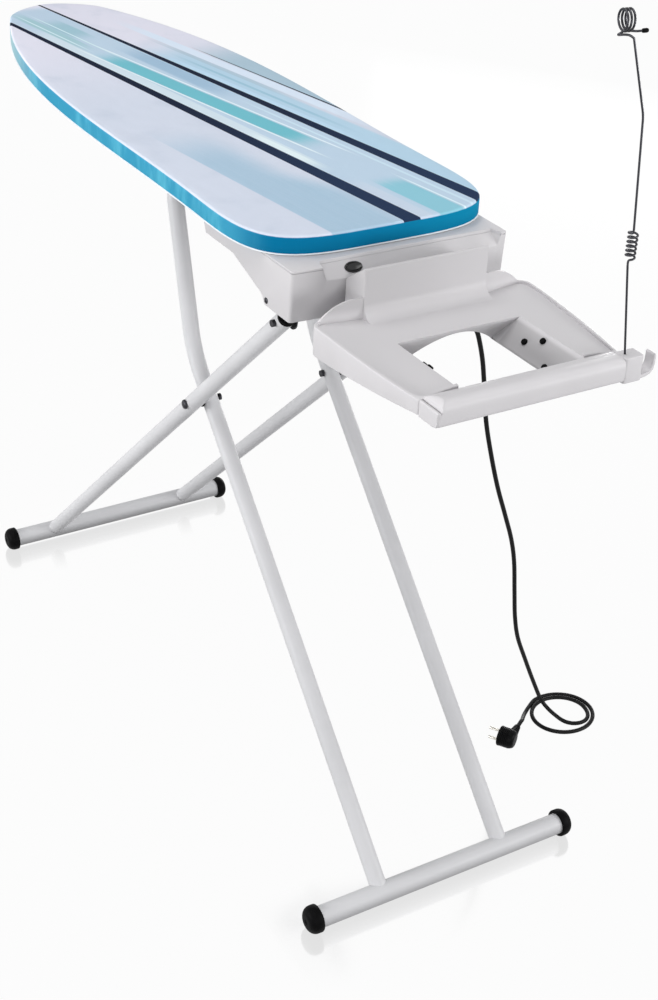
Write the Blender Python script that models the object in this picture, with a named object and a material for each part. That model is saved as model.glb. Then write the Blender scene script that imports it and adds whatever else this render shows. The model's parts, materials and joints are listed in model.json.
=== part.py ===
"""Vacuum ironing table: a padded board with a suction fan under its wide end, on crossing legs that fold,
with a rest for a steam station and a sprung wire that holds the iron's cord.

Metres, +Z up, +X from the nose towards the iron rest, floor at zero, origin under the middle of the
object. Pieces that touch keep SEAT between them.
"""

import math

import bmesh
import bpy
from mathutils import Matrix, Quaternion, Vector

# Gaps, overruns and roundness shared by all pieces
SEAT = 0.0003
OVERRUN = 0.004
ROUND_STEPS = 16
TUBE_STEPS = 10
SMALL_STEPS = 8
SMOOTH_ANGLE = math.radians(38)

# Board outline, seen from above
BOARD_LENGTH = 1.168
BOARD_HALF_WIDTH = 0.190
BOARD_END_X = 0.413
BOARD_TOP = 0.950
FLANK_CUBIC_shares = (0.994, 0.1106, -1.167, 2.548)
NOSE_ROUNDING = 0.054
NOSE_POWER = 1.9
END_ROUNDING = 0.2345
END_POWER = 4.0
OUTLINE_STEPS = 27

# Board layers, from the ironing surface down
COVER_CLOTH = 0.0015
COVER_EDGE_RADIUS = 0.004
COVER_HEM = 0.022
COVER_SIDE = 0.0272
PAD_THICKNESS = 0.006
PAD_SKIRT = 0.012
DECK_SHEET = 0.0015
DECK_RIM = 0.026
DECK_SLOT_LENGTH = 0.052
DECK_SLOT_WIDTH = 0.018
DECK_PITCH_X = 0.086
DECK_PITCH_Y = 0.062
PAN_SHEET = 0.0012
PAN_EDGE_RADIUS = 0.003

# Legs: the outer pair stands under the nose, the inner pair under the iron rest
LEG_RADIUS = 0.0127
LEG_WALL = 0.0012
LEG_SPACE = 0.0036
INNER_LEG_Y = 0.107
FOOT_BAR_RADIUS = 0.016
FOOT_BAR_WALL = 0.0014
FOOT_BAR_HALF = 0.2215
CAP_RADIUS = 0.021
CAP_LENGTH = 0.020
CAP_GRIP = 0.009
CAP_ROUNDING = 0.009
OUTER_FOOT_X = -0.482
INNER_FOOT_X = 0.660
HINGE_X = 0.371
HINGE_Z = 0.818
PIVOT_FROM_HINGE = 0.3594
BEND_PAST_PIVOT = 0.078
BEND_RADIUS = 0.150
CROSSBAR_X = -0.019
CROSSBAR_Z = 0.890
CROSSBAR_CORNER = 0.042
LEG_PAST_HINGE = 0.012
PLUG_DOME = 0.006
PLUG_FLANGE = 0.0025
PLUG_STEM = 0.010

# Hinge axle, its brackets, and the bolts where the legs cross
AXLE_RADIUS = 0.005
AXLE_PAST_LEG = 0.0048
BRACKET_SHEET = 0.002
BRACKET_REACH = 0.014
BRACKET_HALF = 0.017
BRACKET_FLANGE = 0.016
BOLT_RADIUS = 0.003
BOLT_HEAD_RADIUS = 0.0075
BOLT_HEAD = 0.0042
NUT_RADIUS = 0.0060
NUT_HEIGHT = 0.005
SPACER_RADIUS = 0.0095

# Guide channel that the crossbar runs in, and the lever that clamps it
CROSSBAR_TRAVEL = 0.2825
CROSSBAR_LIFT = 0.0155
CHANNEL_HALF = 0.030
CHANNEL_SHEET = 0.002
CHANNEL_DEPTH = 0.061
CHANNEL_END = 0.020
SLOT_END_GAP = 0.004
SLOT_CORNER = 0.0025
CHANNEL_PAST_SLOT = 0.115
LEVER_HALF = 0.018
LEVER_THICK = 0.004
LEVER_PIN_X = 0.055
LEVER_PIN_RADIUS = 0.004
LEVER_HUB_RADIUS = 0.010
LEVER_SHORT_ARM = 0.075
ROD_RADIUS = 0.005
ROD_END_Y = 0.170
GRIP_START_Y = 0.096
GRIP_RADIUS = 0.0115
GRIP_WAIST = 0.0022
SPRING_X_FROM_PIN = 0.036
SPRING_RADIUS = 0.0055
SPRING_WIRE = 0.0007
SPRING_TURNS = 7
CURL_POINTS = 10

# Fan housing under the wide end
HOUSING_HALF = 0.1676
HOUSING_WALL = 0.0028
REAR_FROM_SCROLL = 0.023
HOUSING_REAR_LEAN = 0.014
HOUSING_FRONT_X = 0.445
HOUSING_FRONT_LEAN = 0.004
HOUSING_FRONT_BOW = 0.006
HOUSING_SHALLOW_Z = 0.889
HOUSING_DEEP_Z = 0.850
HOUSING_SLOPE_START_X = 0.286
HOUSING_SLOPE_END_X = 0.366
HOUSING_SLOPE_DROP = 0.026
HOUSING_ROUNDING = 0.006
LID_SHEET = 0.003
LID_DROP = 0.0023
PANEL_LOW_Z = 0.8995
PANEL_BACK_X = 0.4265
PANEL_LEFT_Y = -0.118
PANEL_RIGHT_Y = 0.152
PANEL_END_SLANT = 0.016
FAN_X = 0.300
DOME_RADIUS = 0.054
DOME_BOTTOM_Z = 0.835
VENT_SLOTS = 5
VENT_SLOT = 0.0045
VENT_PITCH = 0.011
VENT_LENGTH = 0.056
VENT_START_X = 0.212
VENT_MIDDLE_Y = 0.130

# Fan: intake, impeller, scroll and motor
INTAKE_RADIUS = 0.046
SPIGOT_WALL = 0.003
SPIGOT_HEIGHT = 0.008
SPIGOT_FIT = 0.0005
IMPELLER_RADIUS = 0.062
IMPELLER_DISC = 0.0018
IMPELLER_HEIGHT = 0.0175
IMPELLER_EYE = 0.036
IMPELLER_HUB = 0.009
IMPELLER_BLADES = 11
BLADE_SHEET = 0.0016
BLADE_SWEEP = math.radians(46)
BLADE_STEPS = 4
SCROLL_ROOM = 0.005
SCROLL_GROWTH = 0.018
SCROLL_WALL = 0.002
SCROLL_BASE = 0.002
SCROLL_STEPS = 22
SCROLL_TURN = math.radians(310)
MOTOR_RADIUS = 0.037
MOTOR_BELL = 0.024
MOTOR_FOOT = 0.006
SHAFT_RADIUS = 0.003
SHAFT_DEPTH = 0.020
RUNNING_GAP = 0.0008

# Rocker switch on the slanted control panel
SWITCH_Y = -0.0725
SWITCH_HALF_LENGTH = 0.0135
SWITCH_HALF_WIDTH = 0.0080
SWITCH_FRAME = 0.0022
SWITCH_PROUD = 0.0016
SWITCH_BOX_DEPTH = 0.013
SWITCH_BOX_HALF_LENGTH = 0.0098
SWITCH_BOX_HALF_WIDTH = 0.0040
ROCKER_GAP = 0.0009
ROCKER_CREST = 0.0034
ROCKER_DEPTH = 0.004
ROCKER_TILT = math.radians(6)
SCREW_RADIUS = 0.0042
SCREW_HEAD = 0.0016
SCREW_SHANK = 0.0020
SCREW_LENGTH = 0.0022
SCREW_FROM_FRONT = 0.064
SCREW_Z = 0.858

# Rest for the steam station
TRAY_BACK_X = 0.490
TRAY_FRONT_X = 0.7165
TRAY_BACK_HALF = 0.1675
TRAY_FRONT_HALF = 0.150
TRAY_DECK_Z = 0.868
TRAY_SHEET = 0.003
TRAY_RIM = 0.004
TRAY_RIM_WIDTH = 0.0045
TRAY_SKIRT = 0.040
TRAY_SKIRT_RISE = 0.0135
TRAY_CORNER = 0.018
TRAY_OPENING_BACK_X = 0.582
TRAY_OPENING_FRONT_X = 0.7125
TRAY_OPENING_HALF = 0.094
TRAY_LEDGE_HALF = 0.061
TRAY_LEDGE_DROP = 0.033
TRAY_WALL_DROP = 0.024
TRAY_ARCH_RISE = 0.0155
TRAY_ARCH_HALF = 0.0655
WING_TOP_Z = 0.897
WING_SHOULDER_Y = 0.105
UPSTAND_FRONT_X = 0.503
UPSTAND_BACK_X = 0.458
UPSTAND_HALF = 0.0945
UPSTAND_TOP_Z = 0.936
UPSTAND_BACK_Z = 0.906
ARM_RADIUS = 0.008
ARM_WALL = 0.0012
ARM_Y = 0.055
ARM_Z = 0.884
ARM_START_X = 0.400
ARM_BOSS_WALL = 0.003
ARM_BOSS_LENGTH = 0.018
PAD_RADIUS = 0.0042
PAD_HEIGHT = 0.0035
PAD_PLACE_shares = ((0.29, 0.48), (0.48, 0.77), (0.72, 0.20))

# Rounded rail along the front of the rest, with the hook block at its right end
RAIL_FRONT_X = 0.7565
RAIL_BOTTOM_Z = 0.843
RAIL_TOP_Z = 0.876
RAIL_LEFT_Y = -0.149
RAIL_RIGHT_Y = 0.1285
RAIL_END_ROUNDING = 0.010
RAIL_SECTION_shares = (
    (0, 0), (0.85, 0), (0.96, 0.10), (1, 0.28), (1, 0.62),
    (0.95, 0.82), (0.84, 0.95), (0.64, 1), (0.33, 0.93), (0, 0.76),
)
BLOCK_FRONT_X = 0.755
BLOCK_BACK_X = 0.731
BLOCK_RIGHT_Y = 0.158
BLOCK_TOP_Z = 0.8755
BLOCK_BOTTOM_Z = 0.8405
HOOK_REACH_Y = 0.1845
HOOK_THICK = 0.005
HOOK_LOW_Z = 0.843
HOOK_TIP_Z = 0.878
HOOK_LEAN = 0.004
HOOK_BACK_X = 0.736
HOOK_FRONT_X = 0.7525

# Sprung wire that holds the iron's cord: a pole, a flexing coil, a kinked run and a looped eye
WIRE_RADIUS = 0.0014
POLE_X = 0.742
POLE_Y = 0.1365
POLE_SOCKET = 0.024
POLE_SOCKET_GAP = 0.0004
POLE_LEAN = math.radians(7.7)
POLE_LENGTH = 0.1225
FLEX_GAP = 0.0006
FLEX_STUB = 0.0030
WIRE_TURN_IN = 0.0026
COIL_RADIUS = 0.0056
COIL_TURNS = 5.9
COIL_PITCH = 0.0056
COIL_START = math.radians(-31)
KINK_Y = 0.1114
KINK_Z = 1.180
KINK_ROUNDING = 0.05
EYE_Y = 0.0612
EYE_Z = 1.2808
EYE_RADIUS = 0.0120
EYE_YAW = math.radians(9)
EYE_TURNS = 2.95
EYE_PITCH = 0.0044
EYE_START = math.radians(40)
EYE_POINTS = 12
EYE_LEAD = (
    (0.0185, 0, -0.0088),
    (0.0125, 0, -0.0052),
    (0.0055, 0, -0.0040),
    (-0.0008, 0.0002, -0.0039),
    (-0.0036, 0.0024, -0.0026),
    (-0.0026, 0.0054, -0.0003),
)
EYE_END = ((0.0165, 0.0068, 0.0010), (0.0225, 0.0073, 0.0012))
TIP_RADIUS = 0.0026
TIP_LENGTH = 0.008

# Mains cord, in the route's own places, from the strain relief to the plug
RELIEF_X = 0.425
RELIEF_Y = 0.135
RELIEF_TOP_RADIUS = 0.0078
RELIEF_END_RADIUS = 0.0052
RELIEF_LENGTH = 0.034
RELIEF_COLLAR = 0.0095
RELIEF_COLLAR_HEIGHT = 0.003
CORD_RADIUS = 0.0035
CORD_SIDES_RESOLUTION = 2
CORD_POINTS = 78
CORD_ROUTE = (
    (0.4250, 0.1350, 0.8155),
    (0.4250, 0.1355, 0.8020),
    (0.4248, 0.1425, 0.7800),
    (0.4241, 0.1520, 0.7600),
    (0.4231, 0.1637, 0.7217),
    (0.4222, 0.1718, 0.6813),
    (0.4205, 0.1838, 0.6158),
    (0.4189, 0.2008, 0.5548),
    (0.4172, 0.2211, 0.4927),
    (0.4156, 0.2430, 0.4364),
    (0.4140, 0.2620, 0.3860),
    (0.4128, 0.2739, 0.3400),
    (0.4106, 0.2835, 0.2812),
    (0.4086, 0.2925, 0.2276),
    (0.4070, 0.3048, 0.1821),
    (0.4044, 0.3280, 0.1296),
    (0.4017, 0.3514, 0.0793),
    (0.3977, 0.3760, 0.0301),
    (0.3989, 0.3809, 0.0207),
    (0.4041, 0.3855, 0.0126),
    (0.4123, 0.3892, 0.0069),
    (0.4225, 0.3915, 0.0045),
    (0.4369, 0.3936, 0.0036),
    (0.4481, 0.3971, 0.0036),
    (0.4568, 0.4051, 0.0036),
    (0.4614, 0.4169, 0.0036),
    (0.4601, 0.4300, 0.0036),
    (0.4527, 0.4409, 0.0036),
    (0.4397, 0.4482, 0.0036),
    (0.4235, 0.4509, 0.0036),
    (0.4073, 0.4467, 0.0036),
    (0.3936, 0.4360, 0.0036),
    (0.3845, 0.4203, 0.0036),
    (0.3813, 0.4018, 0.0036),
    (0.3847, 0.3830, 0.0036),
    (0.3944, 0.3669, 0.0036),
    (0.4090, 0.3558, 0.0036),
    (0.4265, 0.3515, 0.0036),
    (0.4444, 0.3547, 0.0036),
    (0.4601, 0.3653, 0.0036),
    (0.4711, 0.3816, 0.0036),
    (0.4758, 0.4016, 0.0036),
    (0.4734, 0.4223, 0.0036),
    (0.4639, 0.4406, 0.0036),
    (0.4488, 0.4538, 0.0036),
    (0.4301, 0.4599, 0.0036),
    (0.4105, 0.4578, 0.0036),
    (0.3928, 0.4477, 0.0036),
    (0.3798, 0.4308, 0.0036),
    (0.3733, 0.4096, 0.0036),
    (0.3746, 0.3871, 0.0036),
    (0.3862, 0.3655, 0.0036),
    (0.3985, 0.3475, 0.0040),
    (0.4105, 0.3345, 0.0082),
    (0.4195, 0.3262, 0.0138),
    (0.4246, 0.3198, 0.0168),
    (0.4284, 0.3142, 0.0172),
    (0.4317, 0.3091, 0.0172),
    (0.4344, 0.3049, 0.0172),
)

# Plug on the cord's end, with its pins square to the cord
PLUG_RADIUS = 0.0170
PLUG_BACK_RADIUS = 0.0105
PLUG_BACK = 0.014
PLUG_FACE = 0.014
PLUG_BEHIND_CORD = 0.004
PLUG_NECK_RADIUS = 0.0052
PLUG_NECK_ROOT = 0.0092
PLUG_NECK = 0.024
PLUG_REACH = 0.036
PLUG_PIN_RADIUS = 0.0024
PLUG_PIN_LENGTH = 0.019
PLUG_PIN_HALF_PITCH = 0.0095
PLUG_PIN_SEAT = 0.008

# Colour, roughness and metallic of each finish
FINISHES = {
    "cover_cloth": ((0.62, 0.66, 0.76), 0.85, 0.0),
    "felt": ((0.80, 0.80, 0.78), 0.95, 0.0),
    "zinc_steel": ((0.55, 0.56, 0.57), 0.40, 1.0),
    "white_paint": ((0.80, 0.80, 0.82), 0.32, 0.0),
    "white_plastic": ((0.80, 0.79, 0.80), 0.38, 0.0),
    "black_plastic": ((0.02, 0.02, 0.02), 0.45, 0.0),
    "black_rubber": ((0.015, 0.015, 0.015), 0.60, 0.0),
    "grey_plastic": ((0.30, 0.30, 0.31), 0.50, 0.0),
    "spring_steel": ((0.40, 0.40, 0.41), 0.28, 1.0),
    "nickel": ((0.70, 0.69, 0.66), 0.22, 1.0),
}

# Heights and places that follow from the sizes above
BOARD_NOSE_X = BOARD_END_X - BOARD_LENGTH
OUTER_LEG_Y = INNER_LEG_Y + 2 * LEG_RADIUS + LEG_SPACE
AXLE_HALF = OUTER_LEG_Y + LEG_RADIUS + AXLE_PAST_LEG
SCROLL_START = IMPELLER_RADIUS + SCROLL_ROOM
SCROLL_RADIUS = SCROLL_START + SCROLL_GROWTH + SCROLL_WALL
HOUSING_REAR_X = FAN_X - SCROLL_RADIUS - REAR_FROM_SCROLL
PAD_TOP = BOARD_TOP - COVER_CLOTH - SEAT
DECK_TOP = PAD_TOP - PAD_THICKNESS - SEAT
PAN_TOP = DECK_TOP - DECK_SHEET - SEAT
COVER_BOTTOM = BOARD_TOP - COVER_SIDE
PAN_BOTTOM = COVER_BOTTOM + COVER_CLOTH + SEAT
PAN_INSET = COVER_CLOTH + SEAT
BOARD_UNDER = PAN_BOTTOM - SEAT
FOOT_Z = CAP_RADIUS * math.cos(math.pi / ROUND_STEPS)
LID_TOP = PAN_BOTTOM - LID_DROP
LID_BOTTOM = LID_TOP - LID_SHEET
HOUSING_TOP = LID_BOTTOM - SEAT
HINGE = Vector((HINGE_X, 0, HINGE_Z))
OUTER_FOOT = Vector((OUTER_FOOT_X, 0, FOOT_Z))
INNER_FOOT = Vector((INNER_FOOT_X, 0, FOOT_Z))
OUTER_LINE = (HINGE - OUTER_FOOT).normalized()
PIVOT = HINGE - OUTER_LINE * PIVOT_FROM_HINGE
INNER_LINE = (PIVOT - INNER_FOOT).normalized()
BEND = PIVOT + INNER_LINE * BEND_PAST_PIVOT
CROSSBAR = Vector((CROSSBAR_X, 0, CROSSBAR_Z))
CROSSBAR_UNDER = CROSSBAR_Z - LEG_RADIUS - SEAT
LEVER_PIN = Vector((LEVER_PIN_X, 0, CROSSBAR_UNDER - LEVER_THICK / 2))
ROD = LEVER_PIN + Vector((LEVER_SHORT_ARM, 0, 0))
PANEL_TOP = Vector((PANEL_BACK_X, 0, LID_TOP))
PANEL_LOW = Vector((HOUSING_FRONT_X + HOUSING_FRONT_BOW, 0, PANEL_LOW_Z))
PANEL_SLOPE = (PANEL_TOP - PANEL_LOW).normalized()
PANEL_NORMAL = Vector((PANEL_SLOPE.z, 0, -PANEL_SLOPE.x))
SWITCH = (PANEL_TOP + PANEL_LOW) / 2 + Vector((0, SWITCH_Y, 0))
POLE_LINE = Vector((0, -math.sin(POLE_LEAN), math.cos(POLE_LEAN)))
POLE_FOOT = Vector((POLE_X, POLE_Y, BLOCK_TOP_Z))
FLEX = POLE_FOOT + POLE_LINE * POLE_LENGTH
RELIEF_END = Vector((RELIEF_X, RELIEF_Y, HOUSING_DEEP_Z - RELIEF_LENGTH))


def clear_scene():
    """Take away every object that the scene starts with."""
    for obj in list(bpy.data.objects):
        bpy.data.objects.remove(obj, do_unlink=True)


def add_finish(obj, finish):
    """Give the object its own material with the colour of a named finish."""
    colour, roughness, metallic = FINISHES[finish]
    material = bpy.data.materials.new(obj.name)
    material.use_nodes = True
    shader = material.node_tree.nodes["Principled BSDF"]
    shader.inputs["Base Color"].default_value = (*colour, 1)
    shader.inputs["Roughness"].default_value = roughness
    shader.inputs["Metallic"].default_value = metallic
    obj.data.materials.append(material)


def add_body(name, bm, finish=None, place=None, turn=None):
    """Make an object of the mesh. One without a finish is a cutter, which no render shows."""
    mesh = bpy.data.meshes.new(name)
    bm.to_mesh(mesh)
    bm.free()
    mesh.shade_smooth()
    mesh.set_sharp_from_angle(angle=SMOOTH_ANGLE)
    obj = bpy.data.objects.new(name, mesh)
    bpy.context.scene.collection.objects.link(obj)
    if place is not None:
        obj.location = place
    if turn is not None:
        obj.rotation_mode = "QUATERNION"
        obj.rotation_quaternion = turn
    if finish is None:
        obj.hide_render = True
        obj.display_type = "WIRE"
    else:
        add_finish(obj, finish)
    return obj


def combine(obj, tool, operation="DIFFERENCE"):
    """Cut the tool from the object, or join it on."""
    modifier = obj.modifiers.new(tool.name, "BOOLEAN")
    modifier.object = tool
    modifier.operation = operation
    modifier.solver = "EXACT"


def soften(obj, width, segments=2, angle=SMOOTH_ANGLE):
    """Round the edges that are sharper than the angle."""
    modifier = obj.modifiers.new("rounding", "BEVEL")
    modifier.width = width
    modifier.segments = segments
    modifier.limit_method = "ANGLE"
    modifier.angle_limit = angle


def add_pivot(name, place):
    """An empty on a joint's axis, which the pieces that turn about it hang from."""
    pivot = bpy.data.objects.new(name, None)
    pivot.location = place
    bpy.context.scene.collection.objects.link(pivot)
    return pivot


def hang(pivot, *pieces):
    """Parent the pieces to the pivot without moving them."""
    for piece in pieces:
        piece.parent = pivot
        piece.matrix_parent_inverse = Matrix.Translation(-Vector(pivot.location))


def skin(rings, around=False):
    """A closed body through rings of points, with a face on each end ring unless it runs all round."""
    bm = bmesh.new()
    loops = [[bm.verts.new(point) for point in ring] for ring in rings]
    pairs = list(zip(loops, loops[1:]))
    if around:
        pairs.append((loops[-1], loops[0]))
    for near, far in pairs:
        for i in range(len(near)):
            j = (i + 1) % len(near)
            bm.faces.new((near[i], near[j], far[j], far[i]))
    if not around:
        bm.faces.new(loops[0])
        bm.faces.new(loops[-1])
    bmesh.ops.recalc_face_normals(bm, faces=bm.faces)
    return bm


def prism_x(outline, low, high):
    """A (y, z) outline drawn out along X."""
    return skin([[(x, y, z) for y, z in outline] for x in (low, high)])


def prism_y(outline, low, high):
    """An (x, z) outline drawn out along Y."""
    return skin([[(x, y, z) for x, z in outline] for y in (low, high)])


def prism_z(outline, low, high):
    """An (x, y) outline drawn out along Z."""
    return skin([[(x, y, z) for x, y in outline] for z in (low, high)])


def box(low, high):
    """A plain block between two corners."""
    outline = ((low[0], low[1]), (high[0], low[1]), (high[0], high[1]), (low[0], high[1]))
    return prism_z(outline, low[2], high[2])


def arc(centre, radius, start, end, steps):
    """Points of an arc, both ends included."""
    points = []
    for i in range(steps + 1):
        angle = start + (end - start) * i / steps
        points.append((centre[0] + radius * math.cos(angle), centre[1] + radius * math.sin(angle)))
    return points


def circle(radius, steps, centre=(0, 0)):
    """Points of a full circle, the first not repeated."""
    return arc(centre, radius, 0, math.tau, steps)[:-1]


def turned(profile, steps=ROUND_STEPS):
    """A solid of revolution about Z through (radius, height) points."""
    return skin([[(x, y, height) for x, y in circle(radius, steps)] for radius, height in profile])


def turned_ring(profile, steps=ROUND_STEPS):
    """A ring of revolution about Z, whose closed (radius, height) profile stays off the axis."""
    rings = []
    for i in range(steps):
        angle = math.tau * i / steps
        rings.append([(r * math.cos(angle), r * math.sin(angle), h) for r, h in profile])
    return skin(rings, around=True)


def pipe(radius, wall, length, steps=ROUND_STEPS):
    """A straight open tube along Z from zero."""
    inner = radius - wall
    return turned_ring(((inner, 0), (radius, 0), (radius, length), (inner, length)), steps)


def rod(radius, length, steps=ROUND_STEPS):
    """A straight round bar along Z from zero."""
    return turned(((radius, 0), (radius, length)), steps)


def towards(direction):
    """The turn that takes +Z to a direction."""
    return Vector((0, 0, 1)).rotation_difference(Vector(direction))


def bore(name, centre, direction, radius, length, steps=ROUND_STEPS):
    """A round cutter centred on a point."""
    start = Vector(centre) - Vector(direction).normalized() * length / 2
    return add_body(name, rod(radius, length, steps), None, start, towards(direction))


def rounded_rectangle(low, high, radius, steps=3):
    """A rectangle with round corners, from its low corner anticlockwise."""
    corners = (
        ((low[0] + radius, low[1] + radius), math.pi),
        ((high[0] - radius, low[1] + radius), math.pi * 3 / 2),
        ((high[0] - radius, high[1] - radius), 0),
        ((low[0] + radius, high[1] - radius), math.pi / 2),
    )
    points = []
    for centre, start in corners:
        points += arc(centre, radius, start, start + math.pi / 2, steps)
    return points


def drawn_in(outline, inset):
    """The closed outline moved inwards by a distance, each corner along its mitre."""
    area = 0
    count = len(outline)
    for i in range(count):
        x0, y0 = outline[i]
        x1, y1 = outline[(i + 1) % count]
        area += x0 * y1 - x1 * y0
    side = 1 if area > 0 else -1
    moved = []
    for i in range(count):
        before = Vector(outline[i]) - Vector(outline[i - 1])
        after = Vector(outline[(i + 1) % count]) - Vector(outline[i])
        first = Vector((-before.y, before.x)).normalized() * side
        second = Vector((-after.y, after.x)).normalized() * side
        mitre = first + second
        scale = inset * 2 / mitre.length_squared
        moved.append((outline[i][0] + mitre.x * scale, outline[i][1] + mitre.y * scale))
    return moved


def sweep(path, radius, steps):
    """A round bar of one radius along a path, with flat ends square to it."""
    rings = []
    across = None
    for i, point in enumerate(path):
        ahead = path[min(i + 1, len(path) - 1)] - path[max(i - 1, 0)]
        ahead.normalize()
        if across is None:
            across = ahead.orthogonal().normalized()
        across = (across - ahead * across.dot(ahead)).normalized()
        up = ahead.cross(across)
        ring = []
        for x, y in circle(radius, steps):
            ring.append(point + across * x + up * y)
        rings.append(ring)
    return skin(rings)


def bent_path(corners, radii, steps):
    """Straight runs between corners, each inner corner rounded to its own radius."""
    path = [corners[0]]
    for i in range(1, len(corners) - 1):
        back = (corners[i - 1] - corners[i]).normalized()
        ahead = (corners[i + 1] - corners[i]).normalized()
        half = back.angle(ahead) / 2
        reach = radii[i - 1] / math.tan(half)
        middle = corners[i] + (back + ahead).normalized() * (radii[i - 1] / math.sin(half))
        start = corners[i] + back * reach - middle
        turn = math.pi - 2 * half
        axis = start.cross(corners[i] + ahead * reach - middle).normalized()
        for step in range(steps + 1):
            path.append(middle + Quaternion(axis, turn * step / steps) @ start)
    path.append(corners[-1])
    return path


def least_gap(path, radius, neighbours):
    """The least clear distance between turns of a tube, leaving out points close along it."""
    least = math.inf
    for i in range(len(path)):
        for j in range(i + neighbours, len(path)):
            least = min(least, (path[i] - path[j]).length - 2 * radius)
    return least


def board_outline(inset=0):
    """Plan of the board: a blunt round nose, cubic flanks and a squarish rounded wide end."""
    side = []
    for i in range(1, OUTLINE_STEPS):
        share = (1 - math.cos(math.pi * i / OUTLINE_STEPS)) / 2
        along = share * BOARD_LENGTH
        width = BOARD_HALF_WIDTH * sum(c * (share - 1 / 2) ** n for n, c in enumerate(FLANK_CUBIC_shares))
        if along < NOSE_ROUNDING:
            width *= (1 - (1 - along / NOSE_ROUNDING) ** NOSE_POWER) ** (1 / NOSE_POWER)
        if BOARD_LENGTH - along < END_ROUNDING:
            left = (BOARD_LENGTH - along) / END_ROUNDING
            width *= (1 - (1 - left) ** END_POWER) ** (1 / END_POWER)
        side.append((BOARD_NOSE_X + along, width))
    end = (BOARD_NOSE_X + BOARD_LENGTH, 0)
    outline = [(BOARD_NOSE_X, 0)] + [(x, -y) for x, y in side] + [end] + side[::-1]
    return drawn_in(outline, inset) if inset else outline


def board_ring(inset, height):
    return [(x, y, height) for x, y in board_outline(inset)]


def make_cover():
    """Cloth cover: the ironing surface, a side band and a hem that turns under the pan."""
    cloth = COVER_CLOTH
    corner = COVER_EDGE_RADIUS
    under = COVER_BOTTOM
    rings = [
        board_ring(COVER_HEM, BOARD_TOP),
        board_ring(corner, BOARD_TOP),
        board_ring(corner / 4, BOARD_TOP - corner / 4),
        board_ring(0, BOARD_TOP - corner),
        board_ring(0, under + corner),
        board_ring(corner / 4, under + corner / 4),
        board_ring(corner, under),
        board_ring(COVER_HEM, under),
        board_ring(COVER_HEM, under + cloth),
        board_ring(corner, under + cloth),
        board_ring(cloth, under + corner),
        board_ring(cloth, BOARD_TOP - corner),
        board_ring(corner, BOARD_TOP - cloth),
        board_ring(COVER_HEM, BOARD_TOP - cloth),
    ]
    return add_body("cover", skin(rings), "cover_cloth")


def make_pad():
    """Felt pad between the cover and the deck, with a soft shoulder all round."""
    inset = PAN_INSET + PAN_SHEET
    bottom = PAD_TOP - PAD_THICKNESS
    rings = [
        board_ring(inset + PAD_SKIRT, PAD_TOP),
        board_ring(inset + PAD_THICKNESS / 2, PAD_TOP),
        board_ring(inset, PAD_TOP - PAD_THICKNESS / 2),
        board_ring(inset, bottom),
        board_ring(inset + PAD_SKIRT, bottom),
    ]
    return add_body("felt_pad", skin(rings), "felt")


def deck_slot(x, y):
    """A long hexagon, the opening of stretched sheet steel."""
    half = DECK_SLOT_LENGTH / 2
    wide = DECK_SLOT_WIDTH / 2
    flat = half - wide
    return (
        (x - half, y),
        (x - flat, y - wide),
        (x + flat, y - wide),
        (x + half, y),
        (x + flat, y + wide),
        (x - flat, y + wide),
    )


def half_width_at(x):
    """Half width of the board at x, read from its outline."""
    points = [point for point in board_outline() if point[1] >= 0]
    points.sort()
    for (x0, y0), (x1, y1) in zip(points, points[1:]):
        if x0 <= x <= x1:
            return y0 + (y1 - y0) * (x - x0) / (x1 - x0)
    return 0


def make_deck():
    """Perforated steel deck: air is drawn down through its slots."""
    inset = PAN_INSET + PAN_SHEET
    rings = [board_ring(inset, PAN_TOP + SEAT), board_ring(inset, DECK_TOP)]
    deck = add_body("perforated_deck", skin(rings), "zinc_steel")
    slots = bmesh.new()
    start = BOARD_NOSE_X + DECK_RIM + DECK_SLOT_LENGTH
    columns = int((BOARD_LENGTH - 2 * (DECK_RIM + DECK_SLOT_LENGTH / 2)) / DECK_PITCH_X)
    for column in range(columns):
        x = start + column * DECK_PITCH_X
        room = half_width_at(x) - DECK_RIM - DECK_SLOT_WIDTH / 2
        rows = int(room / DECK_PITCH_Y + (column % 2) / 2)
        for row in range(-rows, rows + 1):
            y = (row + (column % 2) / 2) * DECK_PITCH_Y
            if abs(y) > room:
                continue
            low = [slots.verts.new((px, py, PAN_TOP - OVERRUN)) for px, py in deck_slot(x, y)]
            high = [slots.verts.new((px, py, DECK_TOP + OVERRUN)) for px, py in deck_slot(x, y)]
            slots.faces.new(low[::-1])
            slots.faces.new(high)
            for i in range(len(low)):
                j = (i + 1) % len(low)
                slots.faces.new((low[i], low[j], high[j], high[i]))
    combine(deck, add_body("deck_slots", slots))
    return deck


def make_pan():
    """Steel air pan that closes the board below, with the hole that the fan draws through."""
    sheet = PAN_SHEET
    corner = PAN_EDGE_RADIUS
    outer = PAN_INSET
    rings = [
        board_ring(outer + sheet + corner, PAN_BOTTOM + sheet),
        board_ring(outer + sheet, PAN_BOTTOM + corner),
        board_ring(outer + sheet, PAN_TOP),
        board_ring(outer, PAN_TOP),
        board_ring(outer, PAN_BOTTOM + corner),
        board_ring(outer + corner, PAN_BOTTOM),
    ]
    pan = add_body("air_pan", skin(rings), "white_paint")
    hole = INTAKE_RADIUS + SPIGOT_WALL + SPIGOT_FIT
    combine(pan, bore("pan_hole", (FAN_X, 0, PAN_BOTTOM), (0, 0, 1), hole, OVERRUN * 2, 24))
    return pan


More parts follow.
